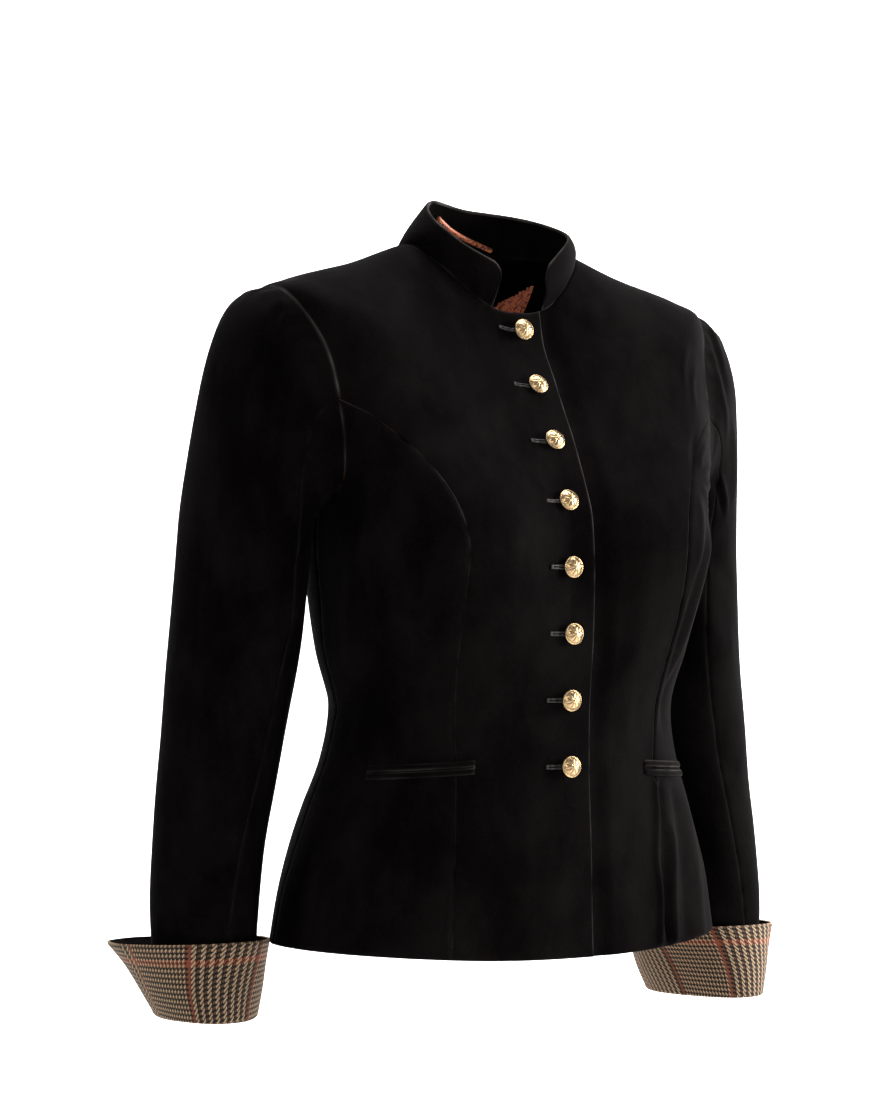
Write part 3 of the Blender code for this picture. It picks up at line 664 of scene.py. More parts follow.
@dataclass(frozen=True)
class PileVelvet:
    """Cotton velvet: woven, its pile cut short and brushed down.

    The upright pile swallows light seen end on and glows grey at a slant, so folds and
    edges carry pale lines. Along the seams and edges these are painted sheen in the colour,
    and patches where the pile lies another way are painted a little lighter, as painted sheen.
    """

    name: str = "cotton_velvet_cut_pile"
    deep: str = "#030202"
    # Painted sheen: the lighter colour of patches where the pile lies another way.
    brushed: str = "#0a0808"
    sheen: str = "#d6cfca"
    sheen_weight: float = 0.009
    sheen_roughness: float = 0.26
    # Painted sheen: the pale grey laid along seams and edges in the base colour, by a per-point
    # share.
    painted_seam_sheen: str = "#3c3937"
    sheen_line_attribute: str = "painted_sheen_line"
    roughness: float = 0.85
    gloss: float = 0.01
    drape_stretch: float = 0.55
    speckle_share: float = 0.35
    deep_until: float = 0.55
    sheen_patch_from: float = 0.86
    sheen_patch_mm: float = 46.0
    pile_lean_mm: float = 7.0
    pile_grain_mm: float = 1.3
    lean_relief: tuple[float, float] = (0.35, 0.6)
    grain_relief: tuple[float, float] = (0.5, 0.25)

    def make(self) -> bpy.types.Material:
        """Builds the velvet."""
        material, tree, shader = new_material(self.name)
        where = add_node(tree, "ShaderNodeTexCoord")
        drawn = add_node(
            tree, "ShaderNodeMapping", {"Vector": where.outputs["Object"]},
            {"Scale": (1.0, 1.0, self.drape_stretch)})
        patches = add_node(
            tree, "ShaderNodeTexNoise", {"Vector": drawn.outputs[0]},
            {"Scale": 1 / (self.sheen_patch_mm * MM), "Detail": 3.0, "Roughness": 0.6})
        grain = add_node(
            tree, "ShaderNodeTexNoise", {"Vector": where.outputs["Object"]},
            {"Scale": 1 / (self.pile_grain_mm * MM), "Detail": 1.0, "Roughness": 0.5})
        speckle = add_node(
            tree, "ShaderNodeMath", {0: grain.outputs[0]}, {1: self.speckle_share},
            operation="MULTIPLY")
        mixed = add_node(
            tree, "ShaderNodeMath", {0: patches.outputs[0], 1: speckle.outputs[0]}, {},
            operation="ADD")
        # Random patches of pile painted lighter as painted sheen, with a speckle of the pile's own
        # grain.
        pile_colour = ramped(tree, mixed.outputs[0], (
            (self.deep_until, self.deep), (self.sheen_patch_from, self.brushed)))
        # Painted sheen along seams and edges, mixed into the base colour by a per-point share.
        edge = add_node(tree, "ShaderNodeAttribute", attribute_name=self.sheen_line_attribute)
        painted_seam_sheen = add_node(
            tree, "ShaderNodeMix", {0: edge.outputs["Fac"], 6: pile_colour},
            {7: linear(self.painted_seam_sheen)}, data_type="RGBA")
        tree.links.new(painted_seam_sheen.outputs[2], shader.inputs["Base Color"])
        lean = add_node(
            tree, "ShaderNodeTexNoise", {"Vector": drawn.outputs[0]},
            {"Scale": 1 / (self.pile_lean_mm * MM), "Detail": 2.0})
        leaning = bumped(tree, lean.outputs[0], self.lean_relief)
        pile = bumped(tree, grain.outputs[0], self.grain_relief, leaning)
        tree.links.new(pile, shader.inputs["Normal"])
        shaded(shader, {
            "Roughness": self.roughness, "Specular IOR Level": self.gloss,
            "Sheen Weight": self.sheen_weight, "Sheen Roughness": self.sheen_roughness,
            "Sheen Tint": linear(self.sheen),
        })
        return material


@dataclass(frozen=True)
class CheckedWool:
    """Brushed wool in a two-and-two twill, a crossing of fine and bold checks.

    The warp runs dark brown and cream, two and two in the fine stretches and four and
    four in the bold ones, with a rust line where they meet, so the bold stretches read
    as slanting ropes and the fine ones as small dots. The weft is dark brown and tan,
    two and two, with one rust band across it.
    """

    name: str = "checked_wool_twill"
    dark: str = "#120b08"
    cream: str = "#907c64"
    tan: str = "#4c3627"
    rust: str = "#6a3220"
    thread_mm: float = 0.68
    weft_mm: float = 0.96
    fine_period: float = 4.0
    bold_period: float = 8.0
    fine_threads: int = 60
    bold_threads: int = 64
    rust_threads: int = 4
    band_from: float = 12.0
    band_threads: int = 5
    fuzz_mm: float = 0.9
    fuzz_shades: tuple[float, float] = (0.72, 1.12)
    relief: tuple[float, float] = (0.6, 0.15)
    sheen: str = "#d8c8b0"
    uv: str = "cloth"

    def make(self) -> bpy.types.Material:
        """Builds the check."""
        material, tree, shader = new_material(self.name)
        where = add_node(tree, "ShaderNodeUVMap", uv_map=self.uv)
        split = add_node(tree, "ShaderNodeSeparateXYZ", {0: where.outputs[0]})
        threads = []
        for axis, pitch in enumerate((self.thread_mm, self.weft_mm)):
            count = add_node(
                tree, "ShaderNodeMath", {0: split.outputs[axis]},
                {1: 1 / (pitch * MM)}, operation="MULTIPLY")
            threads.append(add_node(
                tree, "ShaderNodeMath", {0: count.outputs[0]}, operation="FLOOR").outputs[0])
        warp, weft = threads
        repeat = self.fine_threads + self.bold_threads + 2 * self.rust_threads
        place = add_node(
            tree, "ShaderNodeMath", {0: warp}, {1: float(repeat)}, operation="FLOORED_MODULO")
        in_bold = add_node(
            tree, "ShaderNodeMath", {0: place.outputs[0]}, {1: self.fine_threads - 0.5},
            operation="GREATER_THAN")
        fine_step = self.steps(tree, warp, self.fine_period)
        bold_step = self.steps(tree, warp, self.bold_period)
        warp_light = add_node(
            tree, "ShaderNodeMix",
            {0: in_bold.outputs[0], 2: fine_step, 3: bold_step}, data_type="FLOAT")
        weft_light = self.steps(tree, weft, self.fine_period)
        warp_colour = self.dyed(tree, warp_light.outputs[0], self.cream)
        weft_colour = self.dyed(tree, weft_light, self.tan)
        first_line = self.between(
            tree, place.outputs[0], self.fine_threads, self.fine_threads + self.rust_threads)
        last_line = self.between(
            tree, place.outputs[0], repeat - self.rust_threads, repeat)
        lines = add_node(
            tree, "ShaderNodeMath", {0: first_line, 1: last_line}, operation="MAXIMUM")
        warp_dyed = add_node(
            tree, "ShaderNodeMix", {0: lines.outputs[0], 6: warp_colour},
            {7: linear(self.rust)}, data_type="RGBA")
        band = self.between(tree, weft, self.band_from, self.band_from + self.band_threads)
        weft_dyed = add_node(
            tree, "ShaderNodeMix", {0: band, 6: weft_colour}, {7: linear(self.rust)},
            data_type="RGBA")
        diagonal = add_node(
            tree, "ShaderNodeMath", {0: warp, 1: weft}, operation="ADD")
        over = self.steps(tree, diagonal.outputs[0], self.fine_period)
        cloth = add_node(
            tree, "ShaderNodeMix",
            {0: over, 6: weft_dyed.outputs[2], 7: warp_dyed.outputs[2]}, data_type="RGBA")
        fuzz = add_node(
            tree, "ShaderNodeTexNoise", {"Vector": where.outputs[0]},
            {"Scale": 1 / (self.fuzz_mm * MM), "Detail": 2.0})
        darkest, palest = self.fuzz_shades
        fuzzy = add_node(
            tree, "ShaderNodeMapRange", {"Value": fuzz.outputs[0]},
            {"From Min": 0.25, "From Max": 0.75, "To Min": darkest, "To Max": palest})
        worn = add_node(
            tree, "ShaderNodeVectorMath",
            {0: cloth.outputs[2], 1: fuzzy.outputs[0]}, operation="MULTIPLY")
        tree.links.new(worn.outputs[0], shader.inputs["Base Color"])
        raised = add_node(
            tree, "ShaderNodeMath", {0: over, 1: fuzz.outputs[0]}, operation="ADD")
        bump = bumped(tree, raised.outputs[0], self.relief)
        tree.links.new(bump, shader.inputs["Normal"])
        shaded(shader, {
            "Roughness": 0.9, "Specular IOR Level": 0.2, "Sheen Weight": 0.06,
            "Sheen Roughness": 0.5, "Sheen Tint": linear(self.sheen),
        })
        return material

    def steps(
        self, tree: bpy.types.NodeTree, count: bpy.types.NodeSocket, period: float,
    ) -> bpy.types.NodeSocket:
        """1 over the first half of each period of threads and 0 over the rest."""
        left = add_node(
            tree, "ShaderNodeMath", {0: count}, {1: period}, operation="FLOORED_MODULO")
        half = add_node(
            tree, "ShaderNodeMath", {0: left.outputs[0]}, {1: period / 2 - 0.5},
            operation="LESS_THAN")
        return half.outputs[0]

    def between(
        self, tree: bpy.types.NodeTree, count: bpy.types.NodeSocket, low: float, high: float,
    ) -> bpy.types.NodeSocket:
        """1 on the threads from low up to high and 0 elsewhere."""
        middle, reach = (low + high) / 2 - 0.5, (high - low) / 2
        inside = add_node(
            tree, "ShaderNodeMath", {0: count}, {1: middle, 2: reach}, operation="COMPARE")
        return inside.outputs[0]

    def dyed(
        self, tree: bpy.types.NodeTree, light: bpy.types.NodeSocket, colour: str,
    ) -> bpy.types.NodeSocket:
        """The light colour where light is 1 and dark brown where it is 0."""
        mix = add_node(
            tree, "ShaderNodeMix", {0: light},
            {6: linear(self.dark), 7: linear(colour)}, data_type="RGBA")
        return mix.outputs[2]


@dataclass(frozen=True)
class FiguredSatin:
    """Acetate satin lining, woven with a scrolling figure a little darker than its ground.

    Its long floats give a soft copper gleam, and the figure shows as matt curls.
    """

    name: str = "acetate_satin_figured"
    ground: str = "#c4693f"
    figure: str = "#5e2a18"
    figure_mm: float = 11.0
    figure_curls: float = 34.0
    roughness: float = 0.38
    figure_roughness: float = 0.62
    ground_until: float = 0.15
    figure_from: float = 0.55
    relief: tuple[float, float] = (0.3, 0.1)

    def make(self) -> bpy.types.Material:
        """Builds the lining."""
        material, tree, shader = new_material(self.name)
        where = add_node(tree, "ShaderNodeTexCoord")
        swirl = add_node(
            tree, "ShaderNodeTexNoise", {"Vector": where.outputs["Object"]},
            {"Scale": 1 / (self.figure_mm * MM), "Detail": 1.0, "Distortion": 1.6})
        rings = add_node(
            tree, "ShaderNodeMath", {0: swirl.outputs[0]}, {1: self.figure_curls},
            operation="MULTIPLY")
        wave = add_node(tree, "ShaderNodeMath", {0: rings.outputs[0]}, operation="SINE")
        colour = ramped(tree, wave.outputs[0], (
            (self.ground_until, self.ground), (self.figure_from, self.figure)))
        tree.links.new(colour, shader.inputs["Base Color"])
        matt = add_node(
            tree, "ShaderNodeMapRange", {"Value": wave.outputs[0]},
            {"From Min": -1.0, "From Max": 1.0, "To Min": self.roughness,
             "To Max": self.figure_roughness})
        tree.links.new(matt.outputs[0], shader.inputs["Roughness"])
        bump = bumped(tree, wave.outputs[0], self.relief)
        tree.links.new(bump, shader.inputs["Normal"])
        shaded(shader, {"Specular IOR Level": 0.5, "Sheen Weight": 0.1})
        return material


@dataclass(frozen=True)
class StampedBrass:
    """Brass shell, stamped, gilt and darkened in its hollows.

    The raised parts are polished pale gold, and the hollows keep a brown bloom that
    draws the relief.
    """

    name: str = "gilt_brass_stamped"
    bright: str = "#a68c68"
    hollow: str = "#2c2010"
    hollow_until: float = 0.10
    bright_from: float = 0.62
    wear_mm: float = 1.8
    polish: tuple[float, float] = (0.20, 0.38)
    height_attribute: str = "relief"

    def make(self) -> bpy.types.Material:
        """Builds the gilt brass."""
        material, tree, shader = new_material(self.name)
        height = add_node(tree, "ShaderNodeAttribute", attribute_name=self.height_attribute)
        colour = ramped(tree, height.outputs["Fac"], (
            (self.hollow_until, self.hollow), (self.bright_from, self.bright)))
        tree.links.new(colour, shader.inputs["Base Color"])
        where = add_node(tree, "ShaderNodeTexCoord")
        wear = add_node(
            tree, "ShaderNodeTexNoise", {"Vector": where.outputs["Object"]},
            {"Scale": 1 / (self.wear_mm * MM), "Detail": 3.0})
        smoothest, roughest = self.polish
        rough = add_node(
            tree, "ShaderNodeMapRange", {"Value": wear.outputs[0]},
            {"From Min": 0.3, "From Max": 0.7, "To Min": smoothest, "To Max": roughest})
        tree.links.new(rough.outputs[0], shader.inputs["Roughness"])
        shaded(shader, {"Metallic": 1.0})
        return material


@dataclass(frozen=True)
class ButtonholeTwist:
    """Silk buttonhole twist, worked in close stitches over a cord.

    The stitches are dark grey-brown with a low gleam, over bands of painted shade.
    """

    name: str = "silk_buttonhole_twist"
    colour: str = "#262220"
    # Painted shade: the colour of the dark bands, in the bump's hollows.
    low: str = "#0a0908"
    shade_band_mm: float = 5.6549
    relief: tuple[float, float] = (0.7, 0.2)

    def make(self) -> bpy.types.Material:
        """Builds the twist."""
        material, tree, shader = new_material(self.name)
        where = add_node(tree, "ShaderNodeTexCoord")
        bands = add_node(
            tree, "ShaderNodeTexWave", {"Vector": where.outputs["Object"]},
            {"Scale": FULL_TURN / (WAVE_RADIANS * self.shade_band_mm * MM), "Distortion": 1.0,
             "Detail": 1.0})
        # Painted shade: the colour darkens where the bands' bump is low.
        colour = ramped(tree, bands.outputs[0], ((0.0, self.low), (1.0, self.colour)))
        tree.links.new(colour, shader.inputs["Base Color"])
        bump = bumped(tree, bands.outputs[0], self.relief)
        tree.links.new(bump, shader.inputs["Normal"])
        shaded(shader, {"Roughness": 0.6, "Specular IOR Level": 0.2})
        return material


@dataclass(frozen=True)
class StudioPaper:
    """Matt seamless paper, rolled out: plain, pale and without gloss."""

    name: str = "seamless_paper_matt"
    colour: str = "#f4f4f3"

    def make(self) -> bpy.types.Material:
        """Builds the paper."""
        material, _, shader = new_material(self.name)
        shaded(shader, {
            "Base Color": linear(self.colour), "Roughness": 0.95, "Specular IOR Level": 0.1,
        })
        return material


@dataclass
class Wardrobe:
    """The finishes of the jacket, each made once."""

    velvet: bpy.types.Material = field(default_factory=lambda: PileVelvet().make())
    check: bpy.types.Material = field(default_factory=lambda: CheckedWool().make())
    satin: bpy.types.Material = field(default_factory=lambda: FiguredSatin().make())
    brass: bpy.types.Material = field(default_factory=lambda: StampedBrass().make())
    twist: bpy.types.Material = field(default_factory=lambda: ButtonholeTwist().make())


# Cloth

@dataclass(frozen=True)
class Cut:
    """The size that a piece was cut to, in metres, with its flat area."""

    width: float
    length: float
    area: float


@dataclass
class Cloth:
    """A piece of cloth: a grid of places on a form, raised by its edges and creases."""

    name: str
    node: str
    form: Form
    places: Array
    wall: float
    materials: Sequence[bpy.types.Material]
    slot: str
    cut: Cut
    held: str = "hung"
    edges: tuple[Edge, Edge, Edge, Edge] = (Edge.SEAM,) * 4
    creases: Sequence[Crease] = ()
    crease_scale: float = MM
    swell: float = 0.5 * MM
    swell_length: float = 0.075
    seed: int = 1
    extra: Array | None = None
    facing: Array | None = None
    pinned: Array | None = None
    pin_reach: float = 9 * MM
    # The pale lines along the edges are painted sheen: their strength, their edges and their width.
    pale: Array | None = None
    sheen_line_edges: tuple[float, float, float, float] = (0.0, 0.0, 0.0, 0.0)
    pale_width: float = 1.1 * MM
    patch_length: float = 0.022
    pull_length: float = 0.018
    inner_offset: int = 1
    round_piece: bool = False
    u_start: float = 0.0

    def points(self) -> tuple[Array, Array]:
        """The piece's outer points, in rows and columns, and its normals."""
        a, b = self.places[..., 0], self.places[..., 1]
        points, normals = self.form.place(a, b), self.form.normal(a, b)
        lift = uneven(points, self.swell_length, self.seed) * self.swell
        for crease in self.creases:
            lift = lift + crease.rise(self.form, points, normals, self.crease_scale)
        if self.extra is not None:
            lift = lift + self.extra
        free = self.freedom(points)
        lift = (lift - self.rolls(points)) * free
        return points + normals * lift[..., None], normals

    def freedom(self, points: Array) -> Array:
        """0 on the line that the piece is sewn to, and 1 a little way off it."""
        if self.pinned is None:
            return np.ones(points.shape[:-1])
        gap = np.full(points.shape[:-1], np.inf)
        for spot in self.pinned:
            gap = np.minimum(gap, np.linalg.norm(points - spot, axis=-1))
        return smoothstep(0.0, self.pin_reach, gap)

    def edge_gaps(self, points: Array) -> tuple[Array, Array, Array, Array]:
        """Distance of each point from the top, bottom, first and last edge."""
        down, across = run_lengths(points, 0), run_lengths(points, 1)
        return down, down[-1:] - down, across, across[:, -1:] - across

    def seam_sheen_share(self, points: Array) -> Array:
        """How much painted sheen lies along the four edges, from 0 to 1."""
        glow = np.zeros(points.shape[:-1])
        for share, gap in zip(self.sheen_line_edges, self.edge_gaps(points)):
            glow = np.maximum(glow, share * np.exp(-((gap / self.pale_width) ** 2)))
        patchy = 0.55 + 0.45 * uneven(points, self.patch_length, self.seed + 20)
        return np.clip(glow * patchy, 0.0, 1.0)

    def rolls(self, points: Array) -> Array:
        """How deep the four edges roll under: top, bottom, first and last column."""
        depth = np.zeros(points.shape[:-1])
        pull = 1 + 0.35 * uneven(points, self.pull_length, self.seed + 9)
        for edge, gap in zip(self.edges, self.edge_gaps(points)):
            deep, reach = edge.value
            roll = np.clip(1 - gap / (reach * MM), 0.0, 1.0) ** 2 * deep * MM
            depth = np.maximum(depth, roll * (pull if edge is Edge.SEAM else 1.0))
        return depth

    def shell(self) -> bmesh.types.BMesh:
        """The piece before it has thickness: a grid bent onto its points."""
        points, normals = self.points()
        rows, columns = points.shape[:2]
        bm = bmesh.new()
        bmesh.ops.create_grid(bm, x_segments=columns - 1, y_segments=rows - 1, size=0.5)
        uv_layer = bm.loops.layers.uv.new("cloth")
        # Painted sheen along the edges, stored per point for the velvet's colour.
        glow_layer = bm.verts.layers.float.new(PileVelvet.sheen_line_attribute)
        glow = self.seam_sheen_share(points)
        if self.pale is not None:
            glow = glow * self.pale
        u = run_lengths(points, 1)
        v = run_lengths(points, 0)
        if self.round_piece:
            u = np.broadcast_to(u[rows // 2], u.shape)
        bm.verts.ensure_lookup_table()
        spots = {}
        for vert in bm.verts:
            column = round((vert.co.x + 0.5) * (columns - 1))
            row = round((0.5 - vert.co.y) * (rows - 1))
            spots[vert] = (row, column)
            vert.co = points[row, column]
            vert[glow_layer] = float(glow[row, column])
        for face in bm.faces:
            for loop in face.loops:
                row, column = spots[loop.vert]
                loop[uv_layer].uv = (u[row, column] + self.u_start, v[row, column])
            if self.facing is not None:
                row, column = (min(spots[vert][i] for vert in face.verts) for i in (0, 1))
                face.material_index = 0 if self.facing[row, column] else 1
        bm.normal_update()
        middle = next(f for f in bm.faces if spots[f.verts[0]] == (rows // 2, columns // 2))
        if Vector(normals[rows // 2, columns // 2]).dot(middle.normal) < 0:
            bmesh.ops.reverse_faces(bm, faces=bm.faces)
        if self.round_piece:
            bmesh.ops.remove_doubles(bm, verts=bm.verts, dist=WELD)
        return bm

    def make(self) -> bpy.types.Object:
        obj = finished(self.name, self.shell(), self.materials)
        solid = obj.modifiers.new("thickness", "SOLIDIFY")
        solid.thickness = self.wall
        solid.offset = -1.0
        solid.material_offset = self.inner_offset
        solid.material_offset_rim = 0
        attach(obj, "root")
        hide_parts(self.node)
        return obj


def finished(
    name: str, bm: bmesh.types.BMesh, materials: Sequence[bpy.types.Material],
) -> bpy.types.Object:
    """Turns a bmesh into a smooth object of the scene and frees it."""
    mesh = bpy.data.meshes.new(name)
    bm.to_mesh(mesh)
    bm.free()
    for material in materials:
        mesh.materials.append(material)
    mesh.shade_smooth()
    obj = bpy.data.objects.new(name, mesh)
    bpy.context.scene.collection.objects.link(obj)
    return obj


# Body

@dataclass
class Body:
    """The eight velvet panels of the jacket's body, and the lining inside the back."""

    form: BodyForm
    wardrobe: Wardrobe
    wall: float = 0.0016
    overlap: float = 0.0195
    underlay: float = 0.0031
    underlay_start: float = 0.003
    underlay_return: float = 0.020
    armhole_join: float = math.radians(92.0)
    side_seam_angle: float = math.radians(94.0)
    side_seam_middle: float = 0.30
    top_fade: int = 3
    cells: tuple[int, int, int, int] = (6, 15, 6, 5)
    steps: int = 20
    lining_space: float = 0.0021
    lining_wall: float = 0.0009
    # Where the painted sheen along the seams fades down the body, and its strength on the left.
    pale_until: tuple[float, float] = (0.215, 0.262)
    pale_on_left: float = 0.45
    facing_angle: float = math.radians(38.0)
    # The back lining is velvet above a line by the neck and beside a line by the shoulder.
    neck_velvet_line: tuple[float, float] = (-0.1825, 0.00175)
    shoulder_velvet_line: tuple[float, float] = (118.4, 200.0)
    front_seam: tuple[tuple[float, float], ...] = (
        (-0.140, 0.147), (-0.159, 0.128), (-0.178, 0.114), (-0.200, 0.1035),
        (-0.235, 0.096), (-0.280, 0.095), (-0.350, 0.089), (-0.400, 0.088),
        (-0.470, 0.092), (-0.5335, 0.096),
    )
    back_seam: tuple[tuple[float, float], ...] = (
        (-0.150, 0.128), (-0.190, 0.104), (-0.240, 0.086), (-0.300, 0.070),
        (-0.352, 0.062), (-0.430, 0.068), (-0.5385, 0.078),
    )
    cuts: dict[str, Cut] = field(default_factory=lambda: {
        "front": Cut(0.235, 0.575, 0.079),
        "side_front": Cut(0.165, 0.430, 0.052),
        "back": Cut(0.225, 0.600, 0.067),
        "side_back": Cut(0.160, 0.450, 0.049),
        "back_lining": Cut(0.200, 0.170, 0.025),
    })

    def seam(self, table: Sequence[tuple[float, float]], start: Array, behind: bool) -> Array:
        """Places of a long seam from the armhole down to the hem, evenly spaced."""
        points = [tuple(start)] + [self.form.find(x, z, behind) for z, x in table]
        points[-1] = (points[-1][0], self.form.hem_down)
        return self.form.evenly(np.array(points), self.steps * self.cells[1])

    def front_edge(self) -> Array:
        """Places of the front edge, a set distance past the centre."""
        ring = self.form.ring
        heights = np.linspace(ring["z_front"][0] + 0.0005, ring["z_front"][-1], 16)
        points = np.array([self.form.find(-self.overlap, z) for z in heights])
        points[0] = (points[0][0], 0.0)
        points[-1] = (points[-1][0], self.form.hem_down)
        return self.form.evenly(points, self.steps * (self.cells[0] + self.cells[1]))

    def outlines(self) -> dict[str, tuple[Array, Array, Array, Array]]:
        """Top, bottom, first and last edge of each +X panel, as fine curves of places."""
        armhole_rows, body_rows, neck, shoulder_cells = (self.steps * n for n in self.cells)
        quarter, hem = math.pi / 2, self.form.hem_down
        upper = np.linspace(0.0, self.armhole_join, armhole_rows + 1)
        lower = np.linspace(self.armhole_join, math.pi, 101)
        front_upper, front_lower = self.form.armhole(upper), self.form.armhole(lower)
        back_upper = self.form.armhole(FULL_TURN - upper)
        back_lower = self.form.armhole(FULL_TURN - lower)
        front_seam = self.seam(self.front_seam, front_upper[-1], False)
        back_seam = self.seam(self.back_seam, back_upper[-1], True)
        side_places = np.array([
            front_lower[-1], (self.side_seam_angle, self.side_seam_middle),
            (self.side_seam_angle, hem)])
        side_seam = self.form.evenly(side_places, body_rows)
        front_edge = self.front_edge()
        centre_back = straight((math.pi, 0.0), (math.pi, hem), armhole_rows + body_rows)
        shoulder = straight((quarter, 0.0), (quarter, self.form.armhole_top), shoulder_cells)
        front_top = joined(straight(front_edge[0], (quarter, 0.0), neck), shoulder)
        back_top = joined(straight(centre_back[0], (quarter, 0.0), neck), shoulder)
        return {
            "front": (
                front_top, straight(front_edge[-1], front_seam[-1], 200),
                front_edge, joined(front_upper, front_seam)),
            "side_front": (
                front_lower, straight(front_seam[-1], side_seam[-1], 100),
                front_seam, side_seam),
            "back": (
                back_top, straight(centre_back[-1], back_seam[-1], 200),
                centre_back, joined(back_upper, back_seam)),
            "side_back": (
                back_lower, straight(back_seam[-1], side_seam[-1], 100),
                back_seam, side_seam),
        }

    def patch(self, outline: tuple[Array, Array, Array, Array], u: Array, v: Array) -> Array:
        """Places inside an outline, most like its top edge near the top."""
        top, bottom, first, last = (
            along_line(edge, at) for edge, at in zip(outline, (u, u, v, v)))
        across_u, down_v = u[None, :, None], v[:, None, None]
        across = (1 - across_u) * first[:, None] + across_u * last[:, None]
        top_bow = top[None] - (1 - across_u) * top[0] - across_u * top[-1]
        bottom_bow = bottom[None] - (1 - across_u) * bottom[0] - across_u * bottom[-1]
        return across + (1 - down_v) ** self.top_fade * top_bow + down_v * bottom_bow

    def under_depth(self, places: Array) -> Array:
        """How deep the wearer's left front lies, where the right one is over it."""
        x = self.form.place(places[..., 0], places[..., 1])[..., 0]
        far = smoothstep(
            self.overlap + self.underlay_start, self.overlap + self.underlay_return, x)
        return self.underlay * (1 - far)

    def build(self) -> list[bpy.types.Object]:
        """Builds every panel of both sides."""
        fine = {
            "front": (gathered(96), gathered(168, 0.5)),
            "side_front": (gathered(44), gathered(120, 0.5)),
            "back": (gathered(80), gathered(150, 0.5)),
            "side_back": (gathered(44), gathered(120, 0.5)),
        }
        velvet, satin = self.wardrobe.velvet, self.wardrobe.satin
        made = []
        outlines = self.outlines()
        for side in Side:
            for kind, (u, v) in fine.items():
                places = self.patch(outlines[kind], u, v)
                front = kind == "front"
                extra = -self.under_depth(places) if front and side is Side.LEFT else None
                signed = places * np.array([side.value, 1.0])
                node = f"{kind}_{side.word}"
                made.append(Cloth(
                    name=f"{node}_cloth", node=node, form=self.form, places=signed,
                    wall=self.wall, slot="velvet", cut=self.cuts[kind],
                    edges=(Edge.SEAM, Edge.TURNED, Edge.TURNED if front else Edge.SEAM, Edge.SEAM),
                    materials=(velvet, velvet, velvet, satin) if front else (velvet, satin),
                    facing=places[..., 0] < self.facing_angle if front else None,
                    inner_offset=2 if front else 1,
                    creases=BODY_CREASES[side], extra=extra, seed=5,
                    # Painted sheen along the panel's seams and edges.
                    pinned=self.form.armhole_line(side), sheen_line_edges=SHEEN_LINE_EDGES[kind],
                    pale=self.sheen_line_strength(side, places),
                ).make())
            made.append(self.lining(side, outlines["back"]))
        return made

    def sheen_line_strength(self, side: Side, places: Array) -> Array:
        """The painted sheen along the seams dies out down the body, and is fainter on the left."""
        fade = 1 - 0.85 * smoothstep(*self.pale_until, places[..., 1])
        front = 1 - smoothstep(0.2, 0.35, np.abs(places[..., 0]))
        strength = 1.0 if side is Side.RIGHT else self.pale_on_left
        return strength * np.maximum(fade, 0.8 * front)

    def lining(self, side: Side, outline: tuple[Array, Array, Array, Array]) -> bpy.types.Object:
        """The satin inside one half of the back, below the collar."""
        share = self.cells[0] / (self.cells[0] + self.cells[1])
        places = self.patch(outline, np.linspace(0, 1, 101), np.linspace(0, share, 61))
        degrees, down = np.degrees(places[..., 0]), places[..., 1]
        (depth, per_degree), (angle, per_metre) = self.neck_velvet_line, self.shoulder_velvet_line
        # Velvet above the neck line and beside the shoulder line, satin elsewhere.
        in_velvet = (down < depth + per_degree * degrees) | (degrees < angle + per_metre * down)
        signed = places * np.array([side.value, 1.0])
        node = f"back_lining_{side.word}"
        return Cloth(
            name=f"{node}_satin", node=node, form=self.form, places=signed, wall=self.lining_wall,
            slot="lining", cut=self.cuts["back_lining"], inner_offset=0, facing=in_velvet,
            materials=(self.wardrobe.velvet, self.wardrobe.satin), swell=0.2 * MM,
            edges=(Edge.FLAT,) * 4,
            extra=np.full(places.shape[:-1], -self.lining_space), seed=31,
        ).make()


def straight(start: Sequence[float], end: Sequence[float], cells: int) -> Array:
    """Places in a straight run."""
    t = np.linspace(0, 1, cells + 1)[:, None]
    return (1 - t) * np.asarray(start) + t * np.asarray(end)


def joined(first: Array, second: Array) -> Array:
    """Two runs of places end to end, without the doubled end."""
    return np.concatenate([first, second[1:]])


# How much painted sheen each panel carries along its top, bottom, first and last edge.
SHEEN_LINE_EDGES: dict[str, tuple[float, float, float, float]] = {
    "front": (0.15, 0.25, 0.65, 1.0),
    "side_front": (0.30, 0.20, 0.15, 0.10),
    "back": (0.10, 0.25, 0.20, 0.30),
    "side_back": (0.20, 0.20, 0.10, 0.10),
}

